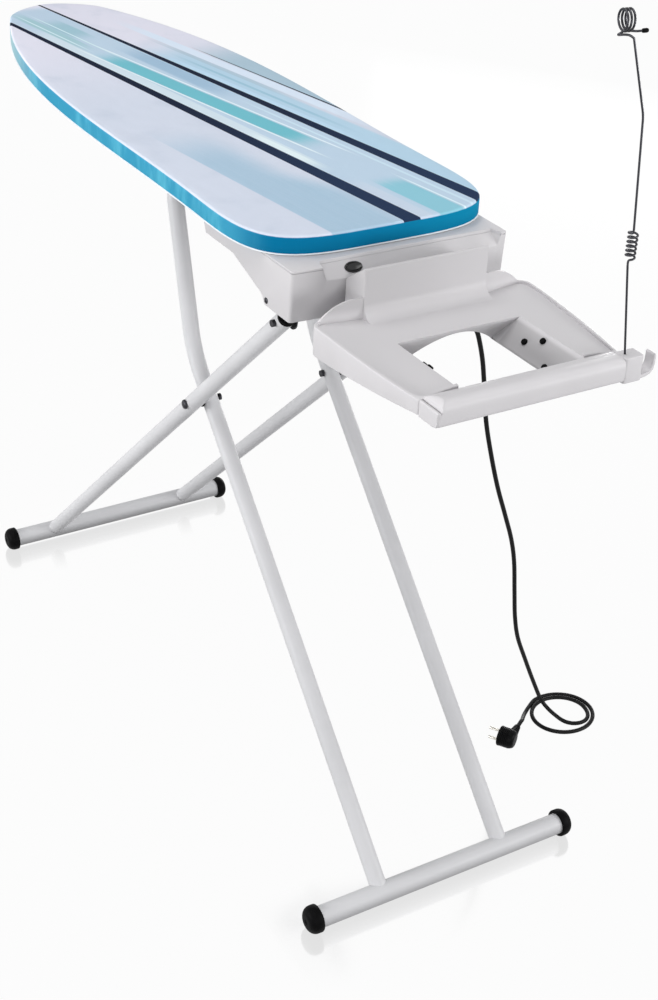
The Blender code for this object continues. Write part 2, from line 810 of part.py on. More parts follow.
def make_outer_leg(name, side):
    """Straight outer leg tube, from its foot bar to just past the hinge."""
    length = (HINGE - OUTER_FOOT).length + LEG_PAST_HINGE
    start = OUTER_FOOT + Vector((0, side * OUTER_LEG_Y, 0))
    leg = add_body(name, pipe(LEG_RADIUS, LEG_WALL, length), "white_paint", start, towards(OUTER_LINE))
    saddle = bore(name + "_saddle", start, (0, 1, 0), FOOT_BAR_RADIUS + SEAT, LEG_RADIUS * 4)
    combine(leg, saddle)
    for label, place, radius in (("axle", HINGE, AXLE_RADIUS), ("bolt", PIVOT, BOLT_RADIUS)):
        centre = place + Vector((0, side * OUTER_LEG_Y, 0))
        reach = LEG_RADIUS * 4
        combine(leg, bore(name + "_" + label, centre, (0, 1, 0), radius + SEAT, reach, SMALL_STEPS * 2))
    return leg


def make_leg_plug(name, side):
    """Black plug in the top end of an outer leg: a short stem, a flange and a low dome."""
    radius = LEG_RADIUS
    stem = LEG_RADIUS - LEG_WALL - SEAT
    flange = PLUG_FLANGE
    profile = (
        (stem / 2, -PLUG_STEM / 2),
        (stem, -PLUG_STEM / 3),
        (stem, SEAT),
        (radius, SEAT),
        (radius, flange),
        (radius * 4 / 5, flange + PLUG_DOME / 2),
        (radius / 3, PLUG_DOME),
    )
    place = HINGE + OUTER_LINE * LEG_PAST_HINGE + Vector((0, side * OUTER_LEG_Y, 0))
    return add_body(name, turned(profile), "black_plastic", place, towards(OUTER_LINE))


def make_foot_bar(name, centre):
    """Foot bar tube across the floor, held off it by its end caps."""
    start = centre - Vector((0, FOOT_BAR_HALF, 0))
    tube = pipe(FOOT_BAR_RADIUS, FOOT_BAR_WALL, 2 * FOOT_BAR_HALF)
    return add_body(name, tube, "white_paint", start, towards((0, 1, 0)))


def make_foot_cap(name, centre, side):
    """Rounded rubber cup over the end of a foot bar, with one of its flats on the floor."""
    inner = FOOT_BAR_RADIUS + SEAT
    depth = CAP_GRIP
    rounding = CAP_ROUNDING
    profile = (
        (inner, 0),
        (CAP_RADIUS - rounding / 3, 0),
        (CAP_RADIUS, rounding / 3),
        (CAP_RADIUS, CAP_LENGTH - rounding),
        (CAP_RADIUS - rounding / 4, CAP_LENGTH - rounding / 3),
        (CAP_RADIUS - rounding, CAP_LENGTH),
    )
    cap = turned(profile)
    place = centre + Vector((0, side * (FOOT_BAR_HALF + SEAT - depth), 0))
    flat_down = towards((0, side, 0)) @ Quaternion((0, 0, 1), math.pi / ROUND_STEPS)
    obj = add_body(name, cap, "black_rubber", place, flat_down)
    mouth = bore(name + "_bore", place, (0, side, 0), inner, depth * 2)
    combine(obj, mouth)
    return obj


def make_inner_frame():
    """Inner legs and their crossbar: one bent tube, up from the foot bar, across and down again."""
    left = Vector((0, -INNER_LEG_Y, 0))
    corners = [INNER_FOOT + left, BEND + left, CROSSBAR + left]
    corners += [CROSSBAR - left, BEND - left, INNER_FOOT - left]
    radii = (BEND_RADIUS, CROSSBAR_CORNER, CROSSBAR_CORNER, BEND_RADIUS)
    path = bent_path(corners, radii, 5)
    frame = add_body("inner_leg_frame", sweep(path, LEG_RADIUS, TUBE_STEPS + 2), "white_paint")
    reach = LEG_RADIUS * 4
    for label, side in (("left", -1), ("right", 1)):
        foot = INNER_FOOT + left * -side
        combine(frame, bore("inner_saddle_" + label, foot, (0, 1, 0), FOOT_BAR_RADIUS + SEAT, reach))
        pivot = PIVOT + left * -side
        radius = BOLT_RADIUS + SEAT
        combine(frame, bore("inner_bolt_" + label, pivot, (0, 1, 0), radius, reach, SMALL_STEPS * 2))
    return frame


def make_pivot_fasteners(label, side):
    """Bolt, spacer and nut where an inner and an outer leg cross."""
    turn = towards((0, -side, 0))
    outside = OUTER_LEG_Y + LEG_RADIUS + SEAT
    inside = INNER_LEG_Y - LEG_RADIUS - SEAT
    head = BOLT_HEAD
    tip = outside - inside + NUT_HEIGHT
    profile = (
        (BOLT_HEAD_RADIUS / 2, -head),
        (BOLT_HEAD_RADIUS, -head / 2),
        (BOLT_HEAD_RADIUS, 0),
        (BOLT_RADIUS, 0),
        (BOLT_RADIUS, tip),
    )
    place = PIVOT + Vector((0, side * outside, 0))
    bolt = add_body("pivot_bolt_" + label, turned(profile), "zinc_steel", place, turn)
    gap = (OUTER_LEG_Y - LEG_RADIUS) - (INNER_LEG_Y + LEG_RADIUS) - 2 * SEAT
    bored = BOLT_RADIUS + SEAT
    spacer_place = PIVOT + Vector((0, side * (OUTER_LEG_Y - LEG_RADIUS - SEAT), 0))
    ring = turned_ring(((bored, 0), (SPACER_RADIUS, 0), (SPACER_RADIUS, gap), (bored, gap)))
    spacer = add_body("pivot_spacer_" + label, ring, "black_plastic", spacer_place, turn)
    nut_place = PIVOT + Vector((0, side * inside, 0))
    nut = add_body("pivot_nut_" + label, rod(NUT_RADIUS, NUT_HEIGHT, 6), "zinc_steel", nut_place, turn)
    combine(nut, bore("nut_bore_" + label, nut_place, (0, -side, 0), bored, NUT_HEIGHT * 4))
    return bolt, spacer, nut


def make_axle():
    """Steel axle that the outer legs carry through the two brackets."""
    start = HINGE - Vector((0, AXLE_HALF, 0))
    return add_body("hinge_axle", rod(AXLE_RADIUS, 2 * AXLE_HALF), "zinc_steel", start, towards((0, 1, 0)))


def make_bracket(name, side):
    """Pressed bracket under the housing: an ear with the axle's bore and a flange that is screwed up."""
    middle = ((INNER_LEG_Y + LEG_RADIUS) + (OUTER_LEG_Y - LEG_RADIUS)) / 2
    top = HOUSING_DEEP_Z - SEAT
    sheet = BRACKET_SHEET
    ear = [(HINGE_X - BRACKET_HALF, top), (HINGE_X + BRACKET_HALF, top)]
    ear += arc((HINGE_X, HINGE_Z), BRACKET_REACH, 0, -math.pi, 8)
    low, high = sorted((side * (middle - sheet / 2), side * (middle + sheet / 2)))
    bracket = add_body(name, prism_y(ear, low, high), "zinc_steel")
    edge, reach = sorted((side * (middle - BRACKET_FLANGE), side * (middle + sheet / 4)))
    flange = box((HINGE_X - BRACKET_HALF, edge, top - sheet), (HINGE_X + BRACKET_HALF, reach, top))
    combine(bracket, add_body(name + "_flange", flange), "UNION")
    centre = HINGE + Vector((0, side * middle, 0))
    combine(bracket, bore(name + "_bore", centre, (0, 1, 0), AXLE_RADIUS + SEAT, sheet * 4))
    return bracket


def make_guide_channel():
    """Channel under the pan: the crossbar runs through a long slot in both of its sides."""
    top = BOARD_UNDER
    bottom = top - CHANNEL_DEPTH
    half = CHANNEL_HALF
    sheet = CHANNEL_SHEET
    section = (
        (-half, top),
        (half, top),
        (half, bottom),
        (half - sheet, bottom),
        (half - sheet, top - sheet),
        (sheet - half, top - sheet),
        (sheet - half, bottom),
        (-half, bottom),
    )
    slot_end = CROSSBAR_X - CROSSBAR_TRAVEL - LEG_RADIUS - SLOT_END_GAP
    start = slot_end - CHANNEL_END
    slot_start = CROSSBAR_X + LEG_RADIUS + SLOT_END_GAP
    channel = add_body("guide_channel", prism_x(section, start, CHANNEL_PAST_SLOT), "zinc_steel")
    slot_top = CROSSBAR_Z + LEG_RADIUS + CROSSBAR_LIFT
    slot = rounded_rectangle((slot_end, CROSSBAR_UNDER - SEAT), (slot_start, slot_top), SLOT_CORNER)
    combine(channel, add_body("channel_slot", prism_y(slot, -half - OVERRUN, half + OVERRUN)))
    pin = LEVER_PIN_RADIUS + SEAT
    combine(channel, bore("channel_pin_bore", LEVER_PIN, (0, 1, 0), pin, 2 * half + OVERRUN * 2))
    return channel


def make_clamp_lever():
    """Clamp lever: its long arm presses up on the crossbar, its short arm carries the release rod."""
    half = LEVER_THICK / 2
    z = LEVER_PIN.z
    tip = CROSSBAR_X - CROSSBAR_TRAVEL - LEG_RADIUS
    hub = LEVER_HUB_RADIUS
    spread = math.asin(half / hub)
    eye = ROD_RADIUS + LEVER_THICK / 2
    eye_spread = math.asin(half / eye)
    outline = [(tip, z - half / 2), (tip + half, z - half)]
    outline += arc((LEVER_PIN.x, z), hub, math.pi + spread, math.tau - spread, 6)
    outline += arc((ROD.x, z), eye, math.pi + eye_spread, math.tau + math.pi - eye_spread, 10)
    outline += arc((LEVER_PIN.x, z), hub, spread, math.pi - spread, 6)
    outline += [(tip + half, z + half), (tip, z + half / 2)]
    lever = add_body("clamp_lever", prism_y(outline, -LEVER_HALF, LEVER_HALF), "zinc_steel")
    length = 2 * LEVER_HALF + OVERRUN
    combine(lever, bore("lever_pin_bore", LEVER_PIN, (0, 1, 0), LEVER_PIN_RADIUS + SEAT, length))
    combine(lever, bore("lever_rod_bore", ROD, (0, 1, 0), ROD_RADIUS + SEAT, length))
    return lever


def make_lever_pin():
    half = CHANNEL_HALF + OVERRUN / 2
    start = LEVER_PIN - Vector((0, half, 0))
    return add_body("lever_pin", rod(LEVER_PIN_RADIUS, 2 * half), "zinc_steel", start, towards((0, 1, 0)))


def make_release_rod():
    start = ROD - Vector((0, LEVER_HALF, 0))
    length = ROD_END_Y + LEVER_HALF
    return add_body("release_rod", rod(ROD_RADIUS, length), "zinc_steel", start, towards((0, 1, 0)))


def make_release_grip():
    """Waisted black sleeve on the release rod, for the hand under the board's edge."""
    inner = ROD_RADIUS + SEAT
    outer = GRIP_RADIUS
    length = ROD_END_Y - GRIP_START_Y
    profile = [(inner, 0), (outer - GRIP_WAIST, 0), (outer, length / 8)]
    profile += [(outer - GRIP_WAIST, length / 2), (outer, length * 7 / 8)]
    profile += [(outer - GRIP_WAIST, length), (inner, length)]
    start = ROD + Vector((0, GRIP_START_Y, 0))
    return add_body("release_grip", turned_ring(profile), "black_plastic", start, towards((0, 1, 0)))


def coil_path(radius, turns, pitch, points):
    """A helix about Z from zero that starts and ends on the axis's +X side."""
    count = round(turns * points)
    path = []
    for i in range(count + 1):
        angle = math.tau * i / points
        path.append(Vector((radius * math.cos(angle), radius * math.sin(angle), pitch * i / points)))
    return path


def make_lever_spring():
    """Return spring between the channel's web and the lever's short arm."""
    bottom = LEVER_PIN.z + LEVER_THICK / 2 + SEAT + SPRING_WIRE
    top = BOARD_UNDER - CHANNEL_SHEET - SEAT - SPRING_WIRE
    pitch = (top - bottom) / SPRING_TURNS
    path = coil_path(SPRING_RADIUS, SPRING_TURNS, pitch, CURL_POINTS)
    print("lever spring, least gap:", least_gap(path, SPRING_WIRE, CURL_POINTS - 3))
    place = Vector((LEVER_PIN.x + SPRING_X_FROM_PIN, 0, bottom))
    return add_body("lever_spring", sweep(path, SPRING_WIRE, 6), "spring_steel", place)


def housing_profile():
    """Side view of the fan housing: shallow at the back, deep where the legs and the iron rest join it."""
    return [
        (HOUSING_REAR_X, HOUSING_TOP),
        (HOUSING_REAR_X + HOUSING_REAR_LEAN, HOUSING_SHALLOW_Z),
        (HOUSING_SLOPE_START_X, HOUSING_SHALLOW_Z),
        (HOUSING_SLOPE_END_X, HOUSING_SHALLOW_Z - HOUSING_SLOPE_DROP),
        (HOUSING_SLOPE_END_X + HOUSING_ROUNDING, HOUSING_DEEP_Z),
        (HOUSING_FRONT_X - HOUSING_FRONT_LEAN, HOUSING_DEEP_Z),
        (HOUSING_FRONT_X, HOUSING_TOP),
    ]


def bowed(profile, half, bow_from):
    """The side view drawn out across the width, its front bowed out in the middle."""
    rings = []
    stations = 8
    for i in range(stations + 1):
        share = 2 * i / stations - 1
        bow = HOUSING_FRONT_BOW * (1 - share * share)
        ring = []
        for x, z in profile:
            ring.append((x + (bow if x > bow_from else 0), share * half, z))
        rings.append(ring)
    return skin(rings)


def panel_cutter(name, back=0):
    """Wedge that takes the slanted control panel out of the front top edge, with slanted ends."""
    run = PANEL_LOW - PANEL_TOP
    top = PANEL_TOP - run * (OVERRUN * 2 / run.length) - PANEL_NORMAL * back
    low = PANEL_LOW + run * (OVERRUN * 4 / run.length) - PANEL_NORMAL * back
    out = PANEL_NORMAL * LID_SHEET * 12
    slant = PANEL_END_SLANT
    grow = slant / 4
    rings = []
    for y, corner_y in ((PANEL_LEFT_Y, PANEL_LEFT_Y - slant), (PANEL_RIGHT_Y, PANEL_RIGHT_Y + slant)):
        ring = [(top.x, y, top.z), (low.x, y, low.z)]
        ring += [(low.x + out.x, corner_y, low.z + out.z), (top.x + out.x, corner_y, top.z + out.z)]
        rings.append(ring)
    return add_body(name, skin(rings))


def make_housing():
    """Fan housing: an open-topped moulding with a motor dome, vents, a switch hole and two arm holes."""
    outline = housing_profile()
    middle_x = (HOUSING_SLOPE_END_X + HOUSING_FRONT_X) / 2
    shell = add_body("fan_housing", bowed(outline, HOUSING_HALF, middle_x), "white_plastic")
    soften(shell, HOUSING_ROUNDING / 2, 2, math.radians(50))
    dome_place = (FAN_X, 0, DOME_BOTTOM_Z)
    dome_height = HOUSING_TOP - DOME_BOTTOM_Z
    rounding = HOUSING_ROUNDING
    dome = ((DOME_RADIUS - rounding, 0), (DOME_RADIUS, rounding), (DOME_RADIUS, dome_height - rounding))
    combine(shell, add_body("dome_outside", turned(dome, 24), None, dome_place), "UNION")
    wall = HOUSING_WALL
    inner = drawn_in(outline, wall)
    inner[0] = (inner[0][0], HOUSING_TOP + OVERRUN)
    chamfer_top = PANEL_TOP - PANEL_NORMAL * wall * 3 / 2
    chamfer_low = PANEL_LOW - PANEL_NORMAL * wall * 3 / 2
    slope = (chamfer_top.x - chamfer_low.x) / (chamfer_top.z - chamfer_low.z)
    front = HOUSING_FRONT_X - HOUSING_FRONT_LEAN - wall
    meet = chamfer_low.z + (front - chamfer_low.x) / slope
    crest = HOUSING_TOP + OVERRUN
    inner[-1:] = [(front, meet), (chamfer_low.x + (crest - chamfer_low.z) * slope, crest)]
    cavity = skin([[(x, y, z) for x, z in inner] for y in (wall - HOUSING_HALF, HOUSING_HALF - wall)])
    combine(shell, add_body("housing_cavity", cavity))
    hollow = DOME_RADIUS - wall
    pocket = turned(((hollow - rounding, 0), (hollow, rounding), (hollow, dome_height)), 24)
    combine(shell, add_body("dome_inside", pocket, None, (FAN_X, 0, DOME_BOTTOM_Z + wall)))
    combine(shell, panel_cutter("panel_wedge_housing"))
    combine(shell, make_switch_hole())
    cut_vents(shell)
    for label, side in (("left", -1), ("right", 1)):
        centre = (HOUSING_FRONT_X, side * ARM_Y, ARM_Z)
        combine(shell, bore("arm_hole_" + label, centre, (1, 0, 0), ARM_RADIUS + SEAT, wall * 12))
        screw = (HOUSING_FRONT_X - SCREW_FROM_FRONT, side * HOUSING_HALF, SCREW_Z)
        radius = SCREW_SHANK + SEAT
        combine(shell, bore("screw_hole_" + label, screw, (0, 1, 0), radius, wall * 4, SMALL_STEPS))
    relief = (RELIEF_X, RELIEF_Y, HOUSING_DEEP_Z)
    combine(shell, bore("relief_hole", relief, (0, 0, 1), RELIEF_TOP_RADIUS + SEAT, wall * 4))
    return shell


def cut_vents(shell):
    """Two groups of outlet slots in the shallow floor, beside the fan's scroll."""
    for label, side in (("left", -1), ("right", 1)):
        for i in range(VENT_SLOTS):
            x = VENT_START_X + i * VENT_PITCH
            y = side * VENT_MIDDLE_Y
            low = (x, y - VENT_LENGTH / 2)
            high = (x + VENT_SLOT, y + VENT_LENGTH / 2)
            outline = rounded_rectangle(low, high, VENT_SLOT / 2 - SEAT, 1)
            slot = prism_z(outline, HOUSING_SHALLOW_Z - OVERRUN, HOUSING_SHALLOW_Z + OVERRUN)
            combine(shell, add_body("vent_" + label + "_" + str(i), slot))


def make_lid():
    """Housing lid: closes the fan housing, with an intake spigot that locates in the pan."""
    bow_from = (HOUSING_REAR_X + HOUSING_FRONT_X) / 2
    profile = [(HOUSING_REAR_X, LID_BOTTOM), (HOUSING_FRONT_X, LID_BOTTOM)]
    profile += [(HOUSING_FRONT_X, LID_TOP), (HOUSING_REAR_X, LID_TOP)]
    lid = add_body("housing_lid", bowed(profile, HOUSING_HALF, bow_from), "white_plastic")
    soften(lid, LID_SHEET / 4, 1, math.radians(50))
    outer = INTAKE_RADIUS + SPIGOT_WALL
    spigot = rod(outer, SPIGOT_HEIGHT + LID_SHEET / 2, 24)
    combine(lid, add_body("lid_spigot", spigot, None, (FAN_X, 0, LID_BOTTOM + LID_SHEET / 2)), "UNION")
    combine(lid, bore("intake_hole", (FAN_X, 0, LID_TOP), (0, 0, 1), INTAKE_RADIUS, SPIGOT_HEIGHT * 4, 24))
    combine(lid, panel_cutter("panel_wedge_lid"))
    return lid


def switch_outline(inset=0):
    """The switch's oval, as (along Y, along the slope) points."""
    length = SWITCH_HALF_LENGTH - inset
    width = SWITCH_HALF_WIDTH - inset
    return [(length * x, width * y) for x, y in circle(1, 20)]


def on_panel(along, up, out):
    """A point given from the switch's centre: along Y, up the slope and out of the panel."""
    return SWITCH + Vector((0, along, 0)) + PANEL_SLOPE * up + PANEL_NORMAL * out


def panel_ring(inset, out):
    return [on_panel(along, up, out) for along, up in switch_outline(inset)]


def make_switch_hole():
    inset = SWITCH_FRAME / 2
    rings = [panel_ring(inset - SEAT, -HOUSING_WALL * 4), panel_ring(inset - SEAT, HOUSING_WALL * 2)]
    return add_body("switch_hole", skin(rings))


def make_switch_bezel():
    """Oval bezel that clips into the panel and stands a little proud of it."""
    inner = SWITCH_FRAME
    rings = [
        panel_ring(inner, SWITCH_PROUD),
        panel_ring(inner / 2, SWITCH_PROUD),
        panel_ring(0, SWITCH_PROUD / 2),
        panel_ring(0, SEAT),
        panel_ring(inner / 2, SEAT),
        panel_ring(inner / 2, -HOUSING_WALL),
        panel_ring(inner, -HOUSING_WALL),
    ]
    return add_body("switch_bezel", skin(rings, around=True), "black_plastic")


def make_rocker():
    """Rocker that tips about an axis up the panel: one half stands proud, the other is pressed in."""
    length = SWITCH_HALF_LENGTH - SWITCH_FRAME - ROCKER_GAP
    width = SWITCH_HALF_WIDTH - SWITCH_FRAME - ROCKER_GAP
    pivot = on_panel(0, 0, -HOUSING_WALL / 2)
    rings = []
    stations = 8
    for i in range(1, stations):
        share = -math.cos(math.pi * i / stations)
        reach = width * math.sqrt(1 - share * share)
        crest = ROCKER_CREST + ROCKER_CREST / 3 * abs(share)
        top = crest + share * length * math.tan(ROCKER_TILT)
        low = -ROCKER_DEPTH / 2
        ring = []
        for up, out in ((-reach, low), (reach, low), (reach, top), (-reach, top)):
            ring.append(PANEL_SLOPE * up + PANEL_NORMAL * out + Vector((0, share * length, 0)))
        rings.append(ring)
    return add_body("rocker_switch", skin(rings), "black_plastic", pivot)


def make_switch_body():
    """Switch box clipped under the bezel, inside the housing."""
    top = -HOUSING_WALL / 2 - ROCKER_DEPTH * 5 / 4
    length = SWITCH_BOX_HALF_LENGTH
    width = SWITCH_BOX_HALF_WIDTH
    corners = ((-length, -width), (length, -width), (length, width), (-length, width))
    rings = []
    for out in (top - SWITCH_BOX_DEPTH, top):
        rings.append([on_panel(along, up, out) for along, up in corners])
    return add_body("switch_box", skin(rings), "grey_plastic")


def make_motor():
    """Motor can with a stepped end bell, hung under the scroll, bored for its shaft."""
    top = HOUSING_SHALLOW_Z + HOUSING_WALL
    bottom = DOME_BOTTOM_Z + HOUSING_WALL + SEAT
    height = top - bottom
    foot = MOTOR_FOOT
    profile = (
        (MOTOR_BELL, 0),
        (MOTOR_BELL, foot),
        (MOTOR_RADIUS - foot / 3, foot),
        (MOTOR_RADIUS, foot * 4 / 3),
        (MOTOR_RADIUS, height - foot),
        (MOTOR_BELL, height - foot / 3),
        (MOTOR_BELL, height),
    )
    motor = add_body("fan_motor", turned(profile, 20), "zinc_steel", (FAN_X, 0, bottom))
    depth = (SHAFT_DEPTH + SEAT) * 2
    combine(motor, bore("motor_bore", (FAN_X, 0, top), (0, 0, 1), SHAFT_RADIUS + SEAT, depth, SMALL_STEPS * 2))
    return motor


def make_scroll():
    """Scroll: a base plate with a spiral wall that opens out round the impeller."""
    base = HOUSING_SHALLOW_Z + HOUSING_WALL + SEAT
    top = HOUSING_TOP - SEAT
    outer = []
    inner = []
    for i in range(SCROLL_STEPS + 1):
        share = i / SCROLL_STEPS
        angle = SCROLL_TURN * share
        radius = SCROLL_START + SCROLL_GROWTH * share
        inner.append((radius * math.cos(angle), radius * math.sin(angle)))
        radius += SCROLL_WALL
        outer.append((radius * math.cos(angle), radius * math.sin(angle)))
    wall = prism_z(inner + outer[::-1], SCROLL_BASE / 2, top - base)
    scroll = add_body("fan_scroll", rod(SCROLL_RADIUS, SCROLL_BASE, 32), "white_plastic", (FAN_X, 0, base))
    combine(scroll, add_body("scroll_wall", wall, None, (FAN_X, 0, base)), "UNION")
    radius = SHAFT_RADIUS + RUNNING_GAP
    combine(scroll, bore("scroll_shaft_hole", (FAN_X, 0, base), (0, 0, 1), radius, SCROLL_BASE * 4))
    return scroll


def impeller_blade(angle):
    """Plan of one backward-swept blade, from the hub side to the rim."""
    near = []
    far = []
    start = IMPELLER_EYE
    for i in range(BLADE_STEPS + 1):
        share = i / BLADE_STEPS
        radius = start + (IMPELLER_RADIUS - IMPELLER_DISC - start) * share
        turn = angle - BLADE_SWEEP * share
        along = BLADE_SHEET / 2 / radius
        near.append((radius * math.cos(turn - along), radius * math.sin(turn - along)))
        far.append((radius * math.cos(turn + along), radius * math.sin(turn + along)))
    return near + far[::-1]


def make_impeller():
    """Centrifugal impeller: a disc with a hub, swept blades and a rim ring that ties their tops."""
    disc = IMPELLER_DISC
    base = HOUSING_SHALLOW_Z + HOUSING_WALL + SEAT + SCROLL_BASE + RUNNING_GAP * 2
    height = IMPELLER_HEIGHT
    profile = (
        (IMPELLER_RADIUS, 0),
        (IMPELLER_RADIUS, disc),
        (IMPELLER_HUB * 2, disc),
        (IMPELLER_HUB, disc * 3),
        (IMPELLER_HUB, height * 2 / 3),
    )
    place = Vector((FAN_X, 0, base))
    wheel = add_body("fan_impeller", turned(profile, 24), "black_plastic", place)
    for i in range(IMPELLER_BLADES):
        blade = prism_z(impeller_blade(math.tau * i / IMPELLER_BLADES), disc / 2, height - disc / 2)
        combine(wheel, add_body("blade_" + str(i), blade, None, place), "UNION")
    inner = IMPELLER_RADIUS - disc * 5
    outer = IMPELLER_RADIUS
    rim = turned_ring(((inner, height - disc), (outer, height - disc), (outer, height), (inner, height)), 24)
    combine(wheel, add_body("impeller_rim", rim, None, place), "UNION")
    combine(wheel, bore("hub_bore", place, (0, 0, 1), SHAFT_RADIUS + SEAT, height * 4, SMALL_STEPS * 2))
    return wheel


def make_shaft():
    """Motor shaft, from inside the motor up through the impeller's hub."""
    start = HOUSING_SHALLOW_Z + HOUSING_WALL - SHAFT_DEPTH
    end = HOUSING_SHALLOW_Z + HOUSING_WALL + SCROLL_BASE + RUNNING_GAP * 2 + IMPELLER_HEIGHT * 2 / 3
    shaft = rod(SHAFT_RADIUS, end - start, SMALL_STEPS * 2)
    return add_body("fan_shaft", shaft, "zinc_steel", (FAN_X, 0, start))


def make_side_screw(name, side):
    """Round-headed screw low on the housing's side."""
    profile = (
        (SCREW_SHANK, -SCREW_LENGTH),
        (SCREW_SHANK, SEAT),
        (SCREW_RADIUS, SEAT),
        (SCREW_RADIUS, SEAT + SCREW_HEAD / 2),
        (SCREW_RADIUS / 2, SEAT + SCREW_HEAD),
    )
    place = (HOUSING_FRONT_X - SCREW_FROM_FRONT, side * HOUSING_HALF, SCREW_Z)
    return add_body(name, turned(profile, SMALL_STEPS + 2), "zinc_steel", place, towards((0, side, 0)))


def tray_half(x):
    """Half width of the rest at x: it draws in a little towards its front rail."""
    share = (x - TRAY_BACK_X) / (TRAY_FRONT_X - TRAY_BACK_X)
    return TRAY_BACK_HALF + (TRAY_FRONT_HALF - TRAY_BACK_HALF) * share * share


def tray_outline():
    """Plan of the rest, with round back corners and square front ones that meet the rail."""
    corner = TRAY_CORNER
    half = TRAY_BACK_HALF
    right = arc((TRAY_BACK_X + corner, half - corner), corner, math.pi, math.pi / 2, 4)
    for i in range(1, 5):
        x = TRAY_BACK_X + corner + (TRAY_FRONT_X - TRAY_BACK_X - corner) * i / 4
        right.append((x, tray_half(x)))
    return right + [(x, -y) for x, y in right[::-1]]


def ledge_point(share, side):
    """(y, z) on the sloping ledge, from its low edge at 0 to the deck at 1."""
    y = TRAY_LEDGE_HALF + (TRAY_OPENING_HALF - TRAY_LEDGE_HALF) * share
    z = TRAY_DECK_Z - TRAY_LEDGE_DROP * (1 - share)
    return side * y, z


def make_tray():
    """Iron rest: a skirted moulding with a stepped rim, an upstand and an opening between sloping ledges."""
    deck = TRAY_DECK_Z
    sheet = TRAY_SHEET
    bottom = deck + TRAY_RIM - TRAY_SKIRT
    outline = tray_outline()
    tray = add_body("iron_tray", prism_z(outline, bottom, deck + TRAY_RIM), "white_plastic")
    soften(tray, TRAY_RIM / 3, 1, math.radians(60))
    top = deck + TRAY_RIM + OVERRUN
    combine(tray, add_body("tray_top_step", prism_z(drawn_in(outline, TRAY_RIM_WIDTH), deck, top)))
    under = prism_z(drawn_in(outline, sheet), bottom - OVERRUN, deck - sheet)
    combine(tray, add_body("tray_underside", under))
    low = (TRAY_OPENING_BACK_X, -TRAY_OPENING_HALF)
    high = (TRAY_OPENING_FRONT_X, TRAY_OPENING_HALF)
    opening = prism_z(rounded_rectangle(low, high, sheet), bottom, top)
    combine(tray, add_body("tray_opening", opening))
    front = TRAY_FRONT_X + OVERRUN
    rise = [(TRAY_BACK_X, bottom - OVERRUN), (front, bottom - OVERRUN), (front, bottom + TRAY_SKIRT_RISE)]
    rise.append((TRAY_BACK_X + TRAY_CORNER, bottom))
    combine(tray, add_body("skirt_rise", prism_y(rise, -TRAY_BACK_HALF - OVERRUN, TRAY_BACK_HALF + OVERRUN)))
    add_ledges(tray)
    add_arched_wall(tray)
    add_wing(tray)
    add_upstand(tray)
    return tray


def add_ledges(tray):
    """The two ledges that slope down from the sides of the opening."""
    sheet = TRAY_SHEET
    for label, side in (("left", -1), ("right", 1)):
        low_y, low_z = ledge_point(0, side)
        high_y, high_z = ledge_point(1, side)
        out = side * sheet
        section = [(low_y, low_z), (high_y, high_z), (high_y + out, high_z), (high_y + out, high_z - sheet)]
        section += [(high_y, high_z - sheet), (low_y, low_z - sheet)]
        ledge = prism_x(section, TRAY_OPENING_BACK_X - sheet / 2, TRAY_OPENING_FRONT_X + sheet / 2)
        combine(tray, add_body("ledge_" + label, ledge), "UNION")


def add_arched_wall(tray):
    """Back wall of the opening, arched below so that a cord or hose passes under it."""
    half = TRAY_OPENING_HALF + TRAY_SHEET / 2
    top = TRAY_DECK_Z - TRAY_SHEET / 2
    low = TRAY_DECK_Z - TRAY_WALL_DROP
    section = [(-half, top), (-half, low)]
    for i in range(9):
        share = i / 4 - 1
        rise = TRAY_ARCH_RISE * math.sqrt(1 - share * share)
        section.append((share * TRAY_ARCH_HALF, low + rise))
    section += [(half, low), (half, top)]
    wall = prism_x(section, TRAY_OPENING_BACK_X - TRAY_SHEET, TRAY_OPENING_BACK_X - SEAT)
    combine(tray, add_body("arched_wall", wall), "UNION")


def add_wing(tray):
    """Low back wall of the rest, falling in a curve to its corners."""
    root = TRAY_DECK_Z - TRAY_SHEET / 2
    fall = WING_TOP_Z - TRAY_DECK_Z
    reach = TRAY_BACK_HALF - TRAY_CORNER / 2
    right = []
    for i in range(7):
        angle = math.pi / 2 * i / 6
        y = WING_SHOULDER_Y - fall / 3 + (reach - WING_SHOULDER_Y + fall / 3) * math.sin(angle)
        right.append((y, TRAY_DECK_Z + fall * math.cos(angle)))
    section = right + [(reach, root), (-reach, root)] + [(-y, z) for y, z in right[::-1]]
    wing = prism_x(section, TRAY_BACK_X + TRAY_RIM / 3, TRAY_BACK_X + TRAY_RIM / 3 + TRAY_SHEET)
    combine(tray, add_body("tray_wing", wing), "UNION")


